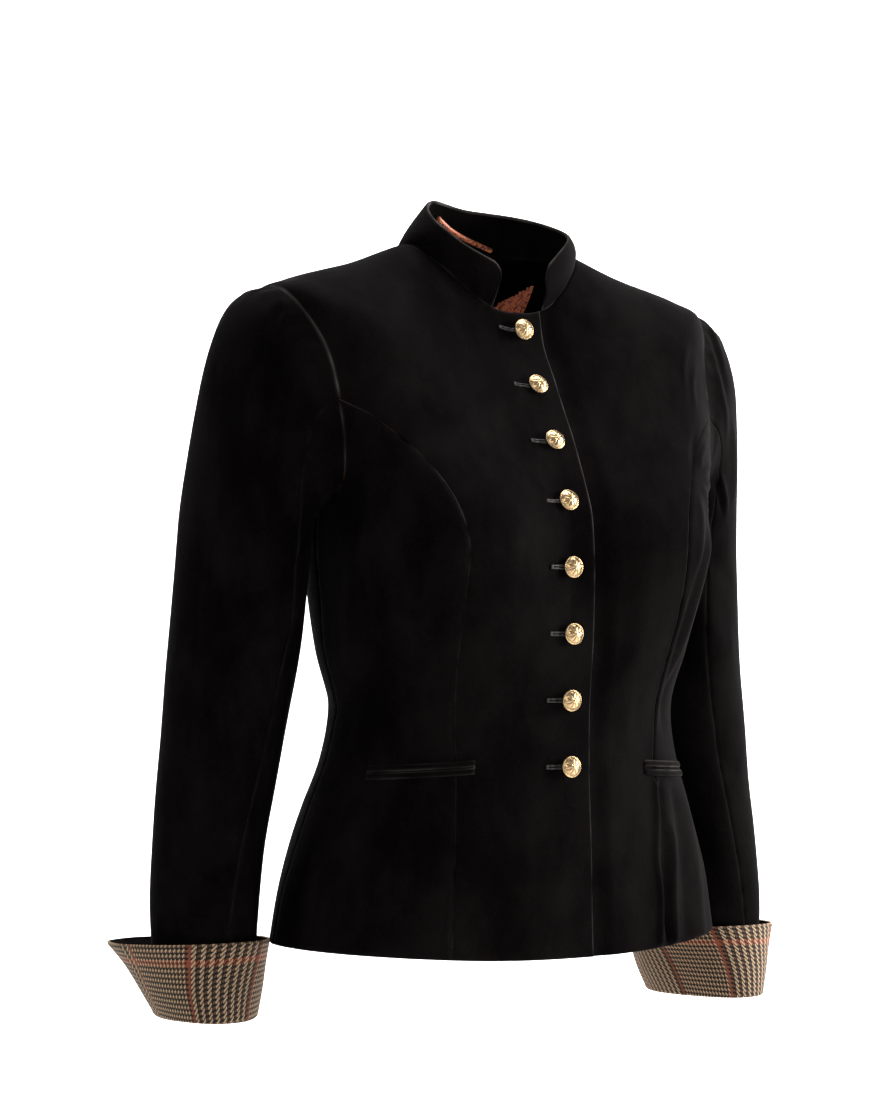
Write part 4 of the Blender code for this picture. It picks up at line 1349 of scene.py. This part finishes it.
BODY_CREASES: dict[Side, tuple[Crease, ...]] = {
    Side.RIGHT: (
        Crease(CreaseKind.TROUGH, ((-66, 165), (-72, 205), (-78, 255), (-88, 310)), 13, 2.2),
        Crease(CreaseKind.RIDGE, ((-58, 176), (-62, 215), (-68, 262), (-80, 322)), 11, 1.4),
        Crease(CreaseKind.TROUGH, ((-112, 346), (-92, 356), (-70, 350)), 9, 1.6),
        Crease(CreaseKind.TROUGH, ((-64, 330), (-52, 345), (-36, 344)), 10, 0.9),
        Crease(CreaseKind.RIDGE, ((-60, 410), (-64, 460), (-62, 541)), 20, 1.6, (0.3, 0.02)),
        Crease(CreaseKind.TROUGH, ((-30, 404), (-33, 460), (-34, 541)), 18, 1.2, (0.3, 0.02)),
        Crease(CreaseKind.LAP, ((-64, 6), (-62, 26), (-64, 50)), 6, 1.0),
        Crease(CreaseKind.RIDGE, ((-52, 14), (-56, 42), (-60, 84)), 9, 0.9),
    ),
    Side.LEFT: (
        Crease(CreaseKind.RIDGE, ((49, 181), (54, 173), (61, 167)), 2.6, 1.1),
        Crease(CreaseKind.RIDGE, ((50, 184), (57, 183), (64, 184)), 2.4, 1.0),
        Crease(CreaseKind.RIDGE, ((49, 187), (55, 194), (60, 203)), 2.6, 1.1),
        Crease(CreaseKind.RIDGE, ((47, 189), (50, 203), (51, 218)), 2.8, 1.2),
        Crease(CreaseKind.TROUGH, ((47, 176), (51, 166), (56, 156)), 3.0, 1.0),
        Crease(CreaseKind.RIDGE, ((44, 196), (44, 214), (42, 236), (43, 262)), 3.6, 1.6),
        Crease(CreaseKind.RIDGE, ((52, 206), (48, 236), (47, 268), (52, 306), (55, 345)), 4.4, 2.2),
        Crease(CreaseKind.TROUGH, ((48, 214), (44, 244), (44, 276), (48, 308), (52, 350)), 4.0, 2.0),
        Crease(CreaseKind.RIDGE, ((40, 262), (42, 290), (46, 322), (49, 352), (48, 392)), 3.6, 1.8),
        Crease(CreaseKind.TROUGH, ((60, 300), (56, 330), (54, 352), (56, 384)), 6.0, 1.8),
        Crease(CreaseKind.RIDGE, ((46, 408), (44, 436), (41, 468), (42, 500), (40, 541)),
               3.8, 2.6, (0.06, 0.02)),
        Crease(CreaseKind.TROUGH, ((48, 410), (47, 440), (45, 480), (44, 541)),
               4.2, 2.4, (0.10, 0.02)),
        Crease(CreaseKind.RIDGE, ((51, 440), (50, 466), (48, 498), (47, 541)),
               4.0, 2.6, (0.20, 0.02)),
        Crease(CreaseKind.RIDGE, ((66, 410), (64, 450), (62, 500), (60, 541)),
               9.0, 2.2, (0.30, 0.02)),
        Crease(CreaseKind.TROUGH, ((57, 408), (56, 450), (54, 500), (53, 541)),
               7.0, 2.2, (0.20, 0.02)),
        Crease(CreaseKind.RIDGE, ((24, 250), (28, 300), (30, 350), (27, 400)), 13, 1.0),
        Crease(CreaseKind.TROUGH, ((17, 300), (19, 350), (16, 410)), 12, 0.8),
        Crease(CreaseKind.RIDGE, ((66, 108), (61, 118), (58, 134)), 3.2, 0.9),
        Crease(CreaseKind.RIDGE, ((67, 124), (62, 132), (59, 148)), 3.0, 0.9),
        Crease(CreaseKind.RIDGE, ((44, 8), (52, 30), (58, 60)), 8, 1.0),
        Crease(CreaseKind.TROUGH, ((40, 22), (48, 52), (57, 86)), 10, 1.1),
    ),
}


# Collar

@dataclass
class Collar:
    """The stand collar and the cord loop sewn inside it."""

    form: CollarForm
    wardrobe: Wardrobe
    wall: float = 0.0024
    columns: int = 190
    rows: int = 34
    foot: float = -0.05
    cut: Cut = field(default_factory=lambda: Cut(0.350, 0.060, 0.0134))
    loop_radius: float = 0.0020
    loop_ends: tuple[tuple[float, float], ...] = ((212.0, 0.72), (148.0, 0.10))
    loop_gap: float = 0.0005
    loop_slack: float = 0.004
    loop_points: int = 40

    def build(self) -> list[bpy.types.Object]:
        """Builds the collar and its loop."""
        share = gathered(self.columns, 0.8)
        angle = self.form.end_angle + (FULL_TURN - 2 * self.form.end_angle) * share
        top = self.form.top(angle)
        height = np.linalg.norm(top - self.form.body.place(angle, 0.0), axis=-1)
        along = run_lengths(top[None], 1)[0]
        from_end = np.minimum(np.minimum(along, along[-1] - along), self.form.corner)
        corner = self.form.corner
        drop = corner - np.sqrt(np.maximum(corner**2 - (corner - from_end) ** 2, 0.0))
        full = 1 - drop / height
        v = gathered(self.rows, 0.5)[::-1]
        shares = self.foot + (full - self.foot)[None] * v[:, None]
        places = np.stack([np.broadcast_to(angle, shares.shape), shares], axis=-1)
        velvet = self.wardrobe.velvet
        collar = Cloth(
            name="collar_cloth", node="collar", form=self.form, places=places, wall=self.wall,
            slot="velvet", cut=self.cut, held="folded", materials=(velvet,), inner_offset=0,
            edges=(Edge.TURNED, Edge.FLAT, Edge.TURNED, Edge.TURNED), swell=0.3 * MM, seed=17,
            # Painted sheen along the collar's edges.
            sheen_line_edges=(0.8, 0.3, 0.8, 0.8),
        ).make()
        return [collar, self.loop()]

    def loop(self) -> bpy.types.Object:
        """The cord that the jacket is hung by."""
        t = np.linspace(0, 1, self.loop_points)
        (start_angle, start_share), (end_angle, end_share) = self.loop_ends
        angle = np.radians(start_angle + (end_angle - start_angle) * t)
        share = start_share + (end_share - start_share) * t
        stand_off = self.wall + self.loop_radius + self.loop_gap
        stand_off = stand_off + self.loop_slack * np.sin(math.pi * t)
        points = self.form.place(angle, share)
        points = points - self.form.normal(angle, share) * stand_off[:, None]
        obj = tube("hanger_loop_cord", points, self.loop_radius, self.wardrobe.satin)
        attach(obj, "root")
        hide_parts("hanger_loop")
        return obj


def tube(
    name: str, points: Array, radius: float, material: bpy.types.Material, closed: bool = False,
) -> bpy.types.Object:
    """A round cord along a line of points, as a mesh."""
    curve = bpy.data.curves.new(name, "CURVE")
    curve.dimensions = "3D"
    curve.bevel_depth = radius
    curve.bevel_resolution = 3
    curve.use_fill_caps = True
    spline = curve.splines.new("POLY")
    spline.points.add(len(points) - 1)
    for spot, point in zip(spline.points, points):
        spot.co = (*point, 1.0)
    spline.use_cyclic_u = closed
    carrier = bpy.data.objects.new(name + "_line", curve)
    mesh = bpy.data.meshes.new_from_object(carrier)
    bpy.data.objects.remove(carrier)
    bm = bmesh.new()
    bm.from_mesh(mesh)
    bpy.data.meshes.remove(mesh)
    bmesh.ops.remove_doubles(bm, verts=bm.verts, dist=WELD)
    bmesh.ops.recalc_face_normals(bm, faces=bm.faces)
    return finished(name, bm, (material,))


# Sleeves and cuffs

@dataclass
class SleeveHead:
    """The eased cap of a sleeve: small puckers at the armhole that run out downwards."""

    height: float = 0.9 * MM
    spacing: float = 15 * MM
    reach: float = 20 * MM
    spread: float = math.radians(75)

    def rise(self, places: Array, points: Array, seed: int) -> Array:
        """How far the puckers lift each point of the top sleeve."""
        turn = places[..., 0]
        across, down = run_lengths(points, 1), run_lengths(points, 0)
        random = uneven(points, 0.05, seed)
        ripple = np.sin(across[:1] * FULL_TURN / self.spacing + 1.4 * random)
        fade = np.exp(-((down / self.reach) ** 2)) * smoothstep(0.0, 3 * MM, down)
        near_top = np.exp(-((turn / self.spread) ** 4))
        return self.height * ripple * fade * near_top * (0.6 + 0.4 * random)


@dataclass
class Sleeve:
    """One two-piece sleeve with its turned-back cuff."""

    form: SleeveForm
    cuff_form: CuffForm
    wardrobe: Wardrobe
    wall: float = 0.0016
    cuff_wall: float = 0.0016
    join: float = math.radians(92.0)
    head: SleeveHead = field(default_factory=SleeveHead)
    pucker_seeds: tuple[int, int] = (50, 40)
    top_cut: Cut = field(default_factory=lambda: Cut(0.230, 0.600, 0.0905))
    under_cut: Cut = field(default_factory=lambda: Cut(0.180, 0.480, 0.0645))
    cuff_cut: Cut = field(default_factory=lambda: Cut(0.400, 0.110, 0.032))
    check_start: float = -0.012

    def build(self) -> list[bpy.types.Object]:
        """Builds the top sleeve, the under sleeve and the cuff."""
        side, end = self.form.side, self.form.end
        velvet, satin = self.wardrobe.velvet, self.wardrobe.satin
        made = []
        pinned = self.form.body.armhole_line(side)
        rings = np.concatenate([np.linspace(0, 1, 16)[:-1] ** 1.5, np.linspace(1, end, 110)])
        turns = {
            "top_sleeve": (2 * gathered(90) - 1) * self.join,
            "under_sleeve": self.join + (FULL_TURN - 2 * self.join) * gathered(60),
        }
        for kind, turn in turns.items():
            a, b = np.meshgrid(turn, rings)
            places = np.stack([a, b], axis=-1)
            top = kind == "top_sleeve"
            extra = None
            if top:
                seed = self.pucker_seeds[1 if side is Side.LEFT else 0]
                extra = self.head.rise(places, self.form.place(a, b), seed)
            node = f"{kind}_{side.word}"
            made.append(Cloth(
                name=f"{node}_cloth", node=node, form=self.form, places=places,
                wall=self.wall, slot="velvet", materials=(velvet, satin),
                cut=self.top_cut if top else self.under_cut, extra=extra,
                edges=(Edge.SEAM, Edge.FLAT, Edge.SEAM, Edge.SEAM),
                creases=SLEEVE_CREASES[side], crease_scale=1.0, seed=5, pinned=pinned,
                # Painted sheen along the armhole seam and the long seams.
                sheen_line_edges=(0.5, 0.0, 0.1, 0.1), pin_reach=4 * MM,
            ).make())
        made.append(self.cuff())
        return made

    def cuff(self) -> bpy.types.Object:
        """The cuff: check outside, round the fold and a little way up the inside."""
        side = self.form.side
        fold_end = self.cuff_form.fold_end
        inside = np.linspace(-1.0, fold_end, 9)[:-1]
        fold = np.linspace(fold_end, 0.0, 11)[:-1]
        outside = gathered(30, 0.6)
        share = np.concatenate([inside, fold, outside])[::-1]
        a, b = np.meshgrid(np.linspace(0, FULL_TURN, 201), share)
        node = f"cuff_{side.word}"
        return Cloth(
            name=f"{node}_cloth", node=node, form=self.cuff_form,
            places=np.stack([a, b], axis=-1), wall=self.cuff_wall, slot="check",
            materials=(self.wardrobe.check, self.wardrobe.velvet), cut=self.cuff_cut,
            held="folded", edges=(Edge.TURNED, Edge.FLAT, Edge.FLAT, Edge.FLAT),
            swell=0.4 * MM, seed=80, round_piece=True, u_start=self.check_start,
        ).make()


SLEEVE_CREASES: dict[Side, tuple[Crease, ...]] = {
    Side.RIGHT: (
        Crease(CreaseKind.LAP, ((30, 0.3), (38, 0.9), (42, 1.5), (44, 2.3)), 3.4, 1.6),
        Crease(CreaseKind.TROUGH, ((88, 2.4), (70, 3.4), (48, 4.0)), 10, 2.0),
        Crease(CreaseKind.RIDGE, ((100, 5.4), (76, 6.0), (48, 6.1)), 9, 1.6),
        Crease(CreaseKind.TROUGH, ((110, 6.6), (78, 7.2), (40, 7.4), (12, 7.0)), 8, 2.6),
        Crease(CreaseKind.RIDGE, ((108, 7.5), (74, 8.0), (36, 8.0)), 8, 1.8),
        Crease(CreaseKind.TROUGH, ((104, 8.4), (66, 8.9), (30, 9.0)), 9, 1.8),
        Crease(CreaseKind.TROUGH, ((90, 10.8), (60, 11.4), (24, 11.5)), 9, 1.4),
    ),
    Side.LEFT: (
        Crease(CreaseKind.RIDGE, ((-4, 0.6), (10, 1.5), (30, 2.2)), 4.0, 1.4),
        Crease(CreaseKind.RIDGE, ((20, 0.4), (40, 1.2), (62, 2.0)), 3.6, 1.6),
        Crease(CreaseKind.TROUGH, ((30, 0.3), (52, 1.4), (74, 2.6)), 3.8, 1.4),
        Crease(CreaseKind.RIDGE, ((44, 0.4), (66, 1.6), (84, 3.4)), 3.8, 1.5),
        Crease(CreaseKind.LAP, ((97, 3.9), (86, 4.8), (72, 5.9)), 3.6, 2.0),
        Crease(CreaseKind.RIDGE, ((66, 3.0), (62, 4.4), (56, 6.0)), 6.0, 1.6),
        Crease(CreaseKind.TROUGH, ((100, 6.4), (76, 7.0), (50, 7.2)), 8.0, 2.2),
        Crease(CreaseKind.RIDGE, ((98, 7.4), (74, 8.0), (46, 8.0)), 8.0, 1.8),
        Crease(CreaseKind.TROUGH, ((104, 9.2), (84, 9.8), (60, 9.8)), 9.0, 1.6),
    ),
}


# Pockets

@dataclass
class Pocket:
    """A jetted pocket: two narrow padded lips across a front."""

    form: BodyForm
    side: Side
    wardrobe: Wardrobe
    inner: float = 0.0745
    outer: float = 0.1385
    middle_z: float = -0.4005
    slope: float = 0.07
    lip: float = 0.0050
    wall: float = 0.0012
    proud: float = 0.0004
    crown: float = 0.0014
    gapes: tuple[float, float] = (0.0006, 0.0020)
    raises: tuple[float, float] = (0.004, 0.000)
    cut: Cut = field(default_factory=lambda: Cut(0.066, 0.012, 0.00038))

    def build(self) -> list[bpy.types.Object]:
        """Builds the two lips."""
        made = []
        right = self.side is Side.RIGHT
        raised = self.raises[0] if right else self.raises[1]
        gape = self.gapes[0] if right else self.gapes[1]
        across = np.linspace(self.inner, self.outer, 41)
        t = np.linspace(0, 1, 11)
        ends = np.sin(math.pi * (across - self.inner) / (self.outer - self.inner))
        ends = np.clip(ends * 6, 0.0, 1.0) ** 0.5
        for kind, sign in (("upper", 1.0), ("lower", -1.0)):
            places = np.zeros((len(t), len(across), 2))
            middle = self.middle_z + raised - self.slope * (across - self.inner)
            for j, (x, z) in enumerate(zip(across, middle)):
                angle, down = self.form.find(self.side.value * x, z)
                open_half = gape / 2 * ends[j]
                places[:, j, 0] = angle
                places[:, j, 1] = down - sign * (open_half + self.lip * t)
            profile = np.sin(math.pi * np.clip(t, 0.02, 0.98)) ** 0.6
            extra = self.proud + self.crown * profile[:, None] * ends[None, :]
            node = f"pocket_{kind}_lip_{self.side.word}"
            made.append(Cloth(
                name=f"{node}_cloth", node=node, form=self.form, places=places, wall=self.wall,
                slot="velvet", cut=self.cut, held="folded", inner_offset=0,
                materials=(self.wardrobe.velvet,), extra=extra, swell=0.1 * MM,
                edges=(Edge.FLAT,) * 4, seed=90,
                # Painted sheen along the lips' edges.
                sheen_line_edges=(0.55, 0.25, 0.0, 0.0) if right else (0.9, 0.5, 0.0, 0.0),
            ).make())
        return made


# Buttons and buttonholes

@dataclass
class ButtonRow:
    """Eight domed shank buttons with their corded buttonholes."""

    form: BodyForm
    wardrobe: Wardrobe
    first_z: float = -0.0675
    last_z: float = -0.3975
    count: int = 8
    steps: int = 64
    profile: tuple[tuple[float, float], ...] = (
        (0.0016, -0.0004), (0.0016, 0.0022), (0.0072, 0.0025), (0.0079, 0.0029),
        (0.0081, 0.0035), (0.0079, 0.0040), (0.0075, 0.0042), (0.0071, 0.0041),
        (0.0068, 0.0043), (0.0062, 0.0050), (0.0054, 0.0056), (0.0045, 0.0061),
        (0.0036, 0.0065), (0.0027, 0.0068), (0.0018, 0.0070), (0.0009, 0.0071),
    )
    crown: float = 0.0071
    petals: int = 8
    beads: int = 32
    bead_height: float = 0.00022
    rim_radius: float = 0.0078
    rim_width: float = 0.0005
    flower_height: float = 0.00045
    heart_height: float = 0.00030
    heart_radius: float = 0.0009
    stamped_from: float = 0.0036
    relief_range: float = 0.0006
    seat_gap: float = 0.0006
    hole_length: float = 0.0182
    hole_half: float = 0.0010
    cord: float = 0.00080

    def seats(self) -> Array:
        """Places of the buttons, evenly spaced down the centre front."""
        ring = self.form.ring
        heights = ring["z_front"][::-1], ring["down"][::-1]
        first, last = np.interp(self.first_z, *heights), np.interp(self.last_z, *heights)
        line = np.array([(0.0, down) for down in np.linspace(first, last, 6)])
        return self.form.evenly(line, self.count - 1)

    def build(self) -> list[bpy.types.Object]:
        """Builds the buttons and the buttonholes."""
        made = []
        for number, (angle, down) in enumerate(self.seats(), start=1):
            made.append(self.button(number, angle, down))
            made.append(self.buttonhole(number, angle, down))
        return made

    def relief(self, radius: Array, turn: Array) -> Array:
        """Height of the stamped pattern: a beaded rim round an eight-petalled flower."""
        rim = np.exp(-(((radius - self.rim_radius) / self.rim_width) ** 2))
        beads = self.bead_height * np.abs(np.cos(self.beads / 2 * turn)) * rim
        petal = np.abs(np.cos(self.petals / 2 * turn)) ** 0.7
        inside = smoothstep(0.0010, 0.0020, radius) * (1 - smoothstep(0.0052, 0.0062, radius))
        flower = self.flower_height * (petal - 0.5) * inside
        heart = self.heart_height * np.exp(-((radius / self.heart_radius) ** 2))
        return beads + flower + heart

    def button(self, number: int, angle: float, down: float) -> bpy.types.Object:
        """One button, stamped with a flower and a beaded rim."""
        bm = bmesh.new()
        line = [bm.verts.new((radius, 0.0, height)) for radius, height in self.profile]
        line.append(bm.verts.new((0.0, 0.0, self.crown)))
        edges = [bm.edges.new(pair) for pair in zip(line, line[1:])]
        bmesh.ops.spin(
            bm, geom=line + edges, cent=(0, 0, 0), axis=(0, 0, 1), angle=FULL_TURN,
            steps=self.steps, use_merge=True)
        bmesh.ops.remove_doubles(bm, verts=bm.verts, dist=WELD)
        bmesh.ops.recalc_face_normals(bm, faces=bm.faces)
        bmesh.ops.subdivide_edges(bm, edges=bm.edges, cuts=1, use_grid_fill=True)
        layer = bm.verts.layers.float.new(StampedBrass.height_attribute)
        flat = np.array([vert.co for vert in bm.verts])
        radius, turn = np.hypot(flat[:, 0], flat[:, 1]), np.arctan2(flat[:, 1], flat[:, 0])
        raised = self.relief(radius, turn)
        for vert, lift in zip(bm.verts, raised):
            if vert.co.z > self.stamped_from:
                vert.co.z += lift
            vert[layer] = 0.5 + lift / self.relief_range
        seat = self.form.place(angle, down)
        normal = self.form.normal(angle, down)
        turn_to = Vector(normal).to_track_quat("Z", "Y").to_matrix().to_4x4()
        turn_to.translation = Vector(seat + normal * self.seat_gap)
        bm.transform(turn_to)
        obj = finished(f"button_{number}_gilt", bm, (self.wardrobe.brass,))
        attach(obj, "root")
        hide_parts(f"button_{number}")
        return obj

    def buttonhole(self, number: int, angle: float, down: float) -> bpy.types.Object:
        """One corded buttonhole, with a bar of stitches at its far end."""
        step = 1e-3
        way = self.form.place(angle + step, down) - self.form.place(angle, down)
        by_angle = np.linalg.norm(way) / step
        half, length = self.hole_half, self.hole_length
        turn = np.linspace(-math.pi / 2, math.pi / 2, 12)
        eye = np.stack([-0.002 - 1.4 * half * np.cos(turn), 1.4 * half * np.sin(turn)], axis=-1)
        run = np.linspace(0.0, length, 14)
        far = np.stack([run, np.full_like(run, half)], axis=-1)
        back = np.stack([run[::-1], np.full_like(run, -half)], axis=-1)
        outline = np.concatenate([eye, far, back])
        points = self.laid(outline, angle, down, by_angle)
        bars = np.stack([np.full(7, length + 0.0004), np.linspace(-1.6, 1.6, 7) * half], axis=-1)
        bar = self.laid(bars, angle, down, by_angle)
        cord = tube(f"buttonhole_{number}_cord", points, self.cord, self.wardrobe.twist, closed=True)
        end = tube(f"buttonhole_{number}_bar", bar, self.cord * 1.15, self.wardrobe.twist)
        bm = bmesh.new()
        bm.from_mesh(cord.data)
        bm.from_mesh(end.data)
        for spare in (cord, end):
            bpy.data.objects.remove(spare)
        obj = finished(f"buttonhole_{number}", bm, (self.wardrobe.twist,))
        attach(obj, "root")
        return obj

    def laid(self, flat: Array, angle: float, down: float, by_angle: float) -> Array:
        """Points on the front at (towards the wearer's right, up) from a button's seat."""
        a, b = angle - flat[:, 0] / by_angle, down - flat[:, 1]
        return self.form.place(a, b) + self.form.normal(a, b) * self.cord * 0.45


# Studio

@dataclass(frozen=True)
class SoftBox:
    """A square soft light: where it stands round the jacket, its size and its power.

    Its place and what it aims at are both given to the right, towards the camera and up
    from the jacket's middle.
    """

    name: str
    right: float
    towards: float
    up: float
    size: float
    watts: float
    aim: tuple[float, float, float] = (0.0, 0.0, 0.0)


@dataclass
class Studio:
    """A pale paper sweep, soft lights and the camera at the photograph's angle."""

    azimuth: float = math.radians(30.0)
    middle: tuple[float, float, float] = (0.0, 0.0, -0.28)
    camera_place: tuple[float, float, float] = (-1.1314, -1.8871, -0.2894)
    pitch: float = math.radians(1.442)
    lens: float = 92.29
    floor_z: float = -0.86
    floor_reach: float = 3.5
    wall_start: float = 1.4
    bend_radius: float = 0.6
    wall_height: float = 3.5
    paper_half: float = 4.0
    air: float = 0.55
    lights: tuple[SoftBox, ...] = (
        SoftBox("key_box", 1.8, -0.1, 0.35, 0.8, 84.0),
        SoftBox("rim_box", 1.3, -1.1, 0.5, 0.8, 26.0),
        SoftBox("front_box", -0.5, 1.9, 0.5, 1.0, 12.0),
        SoftBox("top_box", 0.2, -0.1, 1.7, 1.0, 5.0),
        SoftBox("backdrop_box", 0.0, -0.5, 1.5, 1.4, 90.0, (0.0, -1.7, -0.2)),
    )

    def axes(self) -> tuple[Vector, Vector]:
        """The camera's right and the way towards it, both level."""
        right = Vector((math.cos(self.azimuth), -math.sin(self.azimuth), 0.0))
        towards = Vector((-math.sin(self.azimuth), -math.cos(self.azimuth), 0.0))
        return right, towards

    def build(self) -> None:
        """Builds the floor, the lights, the world and the camera."""
        self.sweep()
        right, towards = self.axes()
        for box in self.lights:
            light = bpy.data.lights.new(box.name, "AREA")
            light.energy = box.watts
            light.size = box.size
            obj = bpy.data.objects.new(box.name, light)
            place = Vector(self.middle) + right * box.right + towards * box.towards
            obj.location = place + Vector((0, 0, box.up))
            aim_right, aim_towards, aim_up = box.aim
            target = Vector(self.middle) + right * aim_right + towards * aim_towards
            target.z += aim_up
            obj.rotation_mode = "QUATERNION"
            obj.rotation_quaternion = (target - obj.location).to_track_quat("-Z", "Y")
            bpy.context.scene.collection.objects.link(obj)
        world = bpy.data.worlds.new("studio_air")
        world.use_nodes = True
        shaded(world.node_tree.nodes["Background"], {
            "Color": linear("#ffffff"), "Strength": self.air})
        bpy.context.scene.world = world
        bpy.context.scene.view_settings.view_transform = "Standard"
        self.camera()

    def sweep(self) -> None:
        """The paper: a floor that curves up into a wall behind the jacket."""
        right, towards = self.axes()
        radius = self.bend_radius
        line = [(-self.floor_reach, 0.0)]
        for t in np.linspace(0, math.pi / 2, 13):
            line.append((self.wall_start + math.sin(t) * radius, (1 - math.cos(t)) * radius))
        line.append((self.wall_start + radius, self.wall_height))
        bm = bmesh.new()
        verts = []
        for back, height in line:
            place = -towards * back - right * self.paper_half
            verts.append(bm.verts.new((place.x, place.y, self.floor_z + height)))
        edges = [bm.edges.new(pair) for pair in zip(verts, verts[1:])]
        out = bmesh.ops.extrude_edge_only(bm, edges=edges)
        moved = [v for v in out["geom"] if isinstance(v, bmesh.types.BMVert)]
        bmesh.ops.translate(bm, verts=moved, vec=right * 2 * self.paper_half)
        bmesh.ops.recalc_face_normals(bm, faces=bm.faces)
        paper = finished("paper_sweep", bm, (StudioPaper().make(),))

    def camera(self) -> None:
        """The camera, level with the middle of the jacket and a little to its right."""
        data = bpy.data.cameras.new("camera")
        data.lens = self.lens
        data.sensor_width = 36.0
        obj = bpy.data.objects.new("camera", data)
        obj.location = self.camera_place
        _, towards = self.axes()
        way = -towards * math.cos(self.pitch) + Vector((0, 0, math.sin(self.pitch)))
        obj.rotation_mode = "QUATERNION"
        obj.rotation_quaternion = way.to_track_quat("-Z", "Y")
        bpy.context.scene.collection.objects.link(obj)
        bpy.context.scene.camera = obj


def main() -> None:
    """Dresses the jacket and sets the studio."""
    logging.basicConfig(level=logging.INFO, format="%(message)s")
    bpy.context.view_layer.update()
    wardrobe = Wardrobe()
    form = BodyForm()
    made = Body(form, wardrobe).build()
    made += Collar(CollarForm(form), wardrobe).build()
    for side in Side:
        sleeve_form = SleeveForm(form, side)
        made += Sleeve(sleeve_form, CuffForm(sleeve_form), wardrobe).build()
        made += Pocket(form, side, wardrobe).build()
    made += ButtonRow(form, wardrobe).build()
    for piece in made:
        log.info("%s: %d faces", piece.name, len(piece.data.polygons))
    Studio().build()


if __name__ == "__main__":
    main()
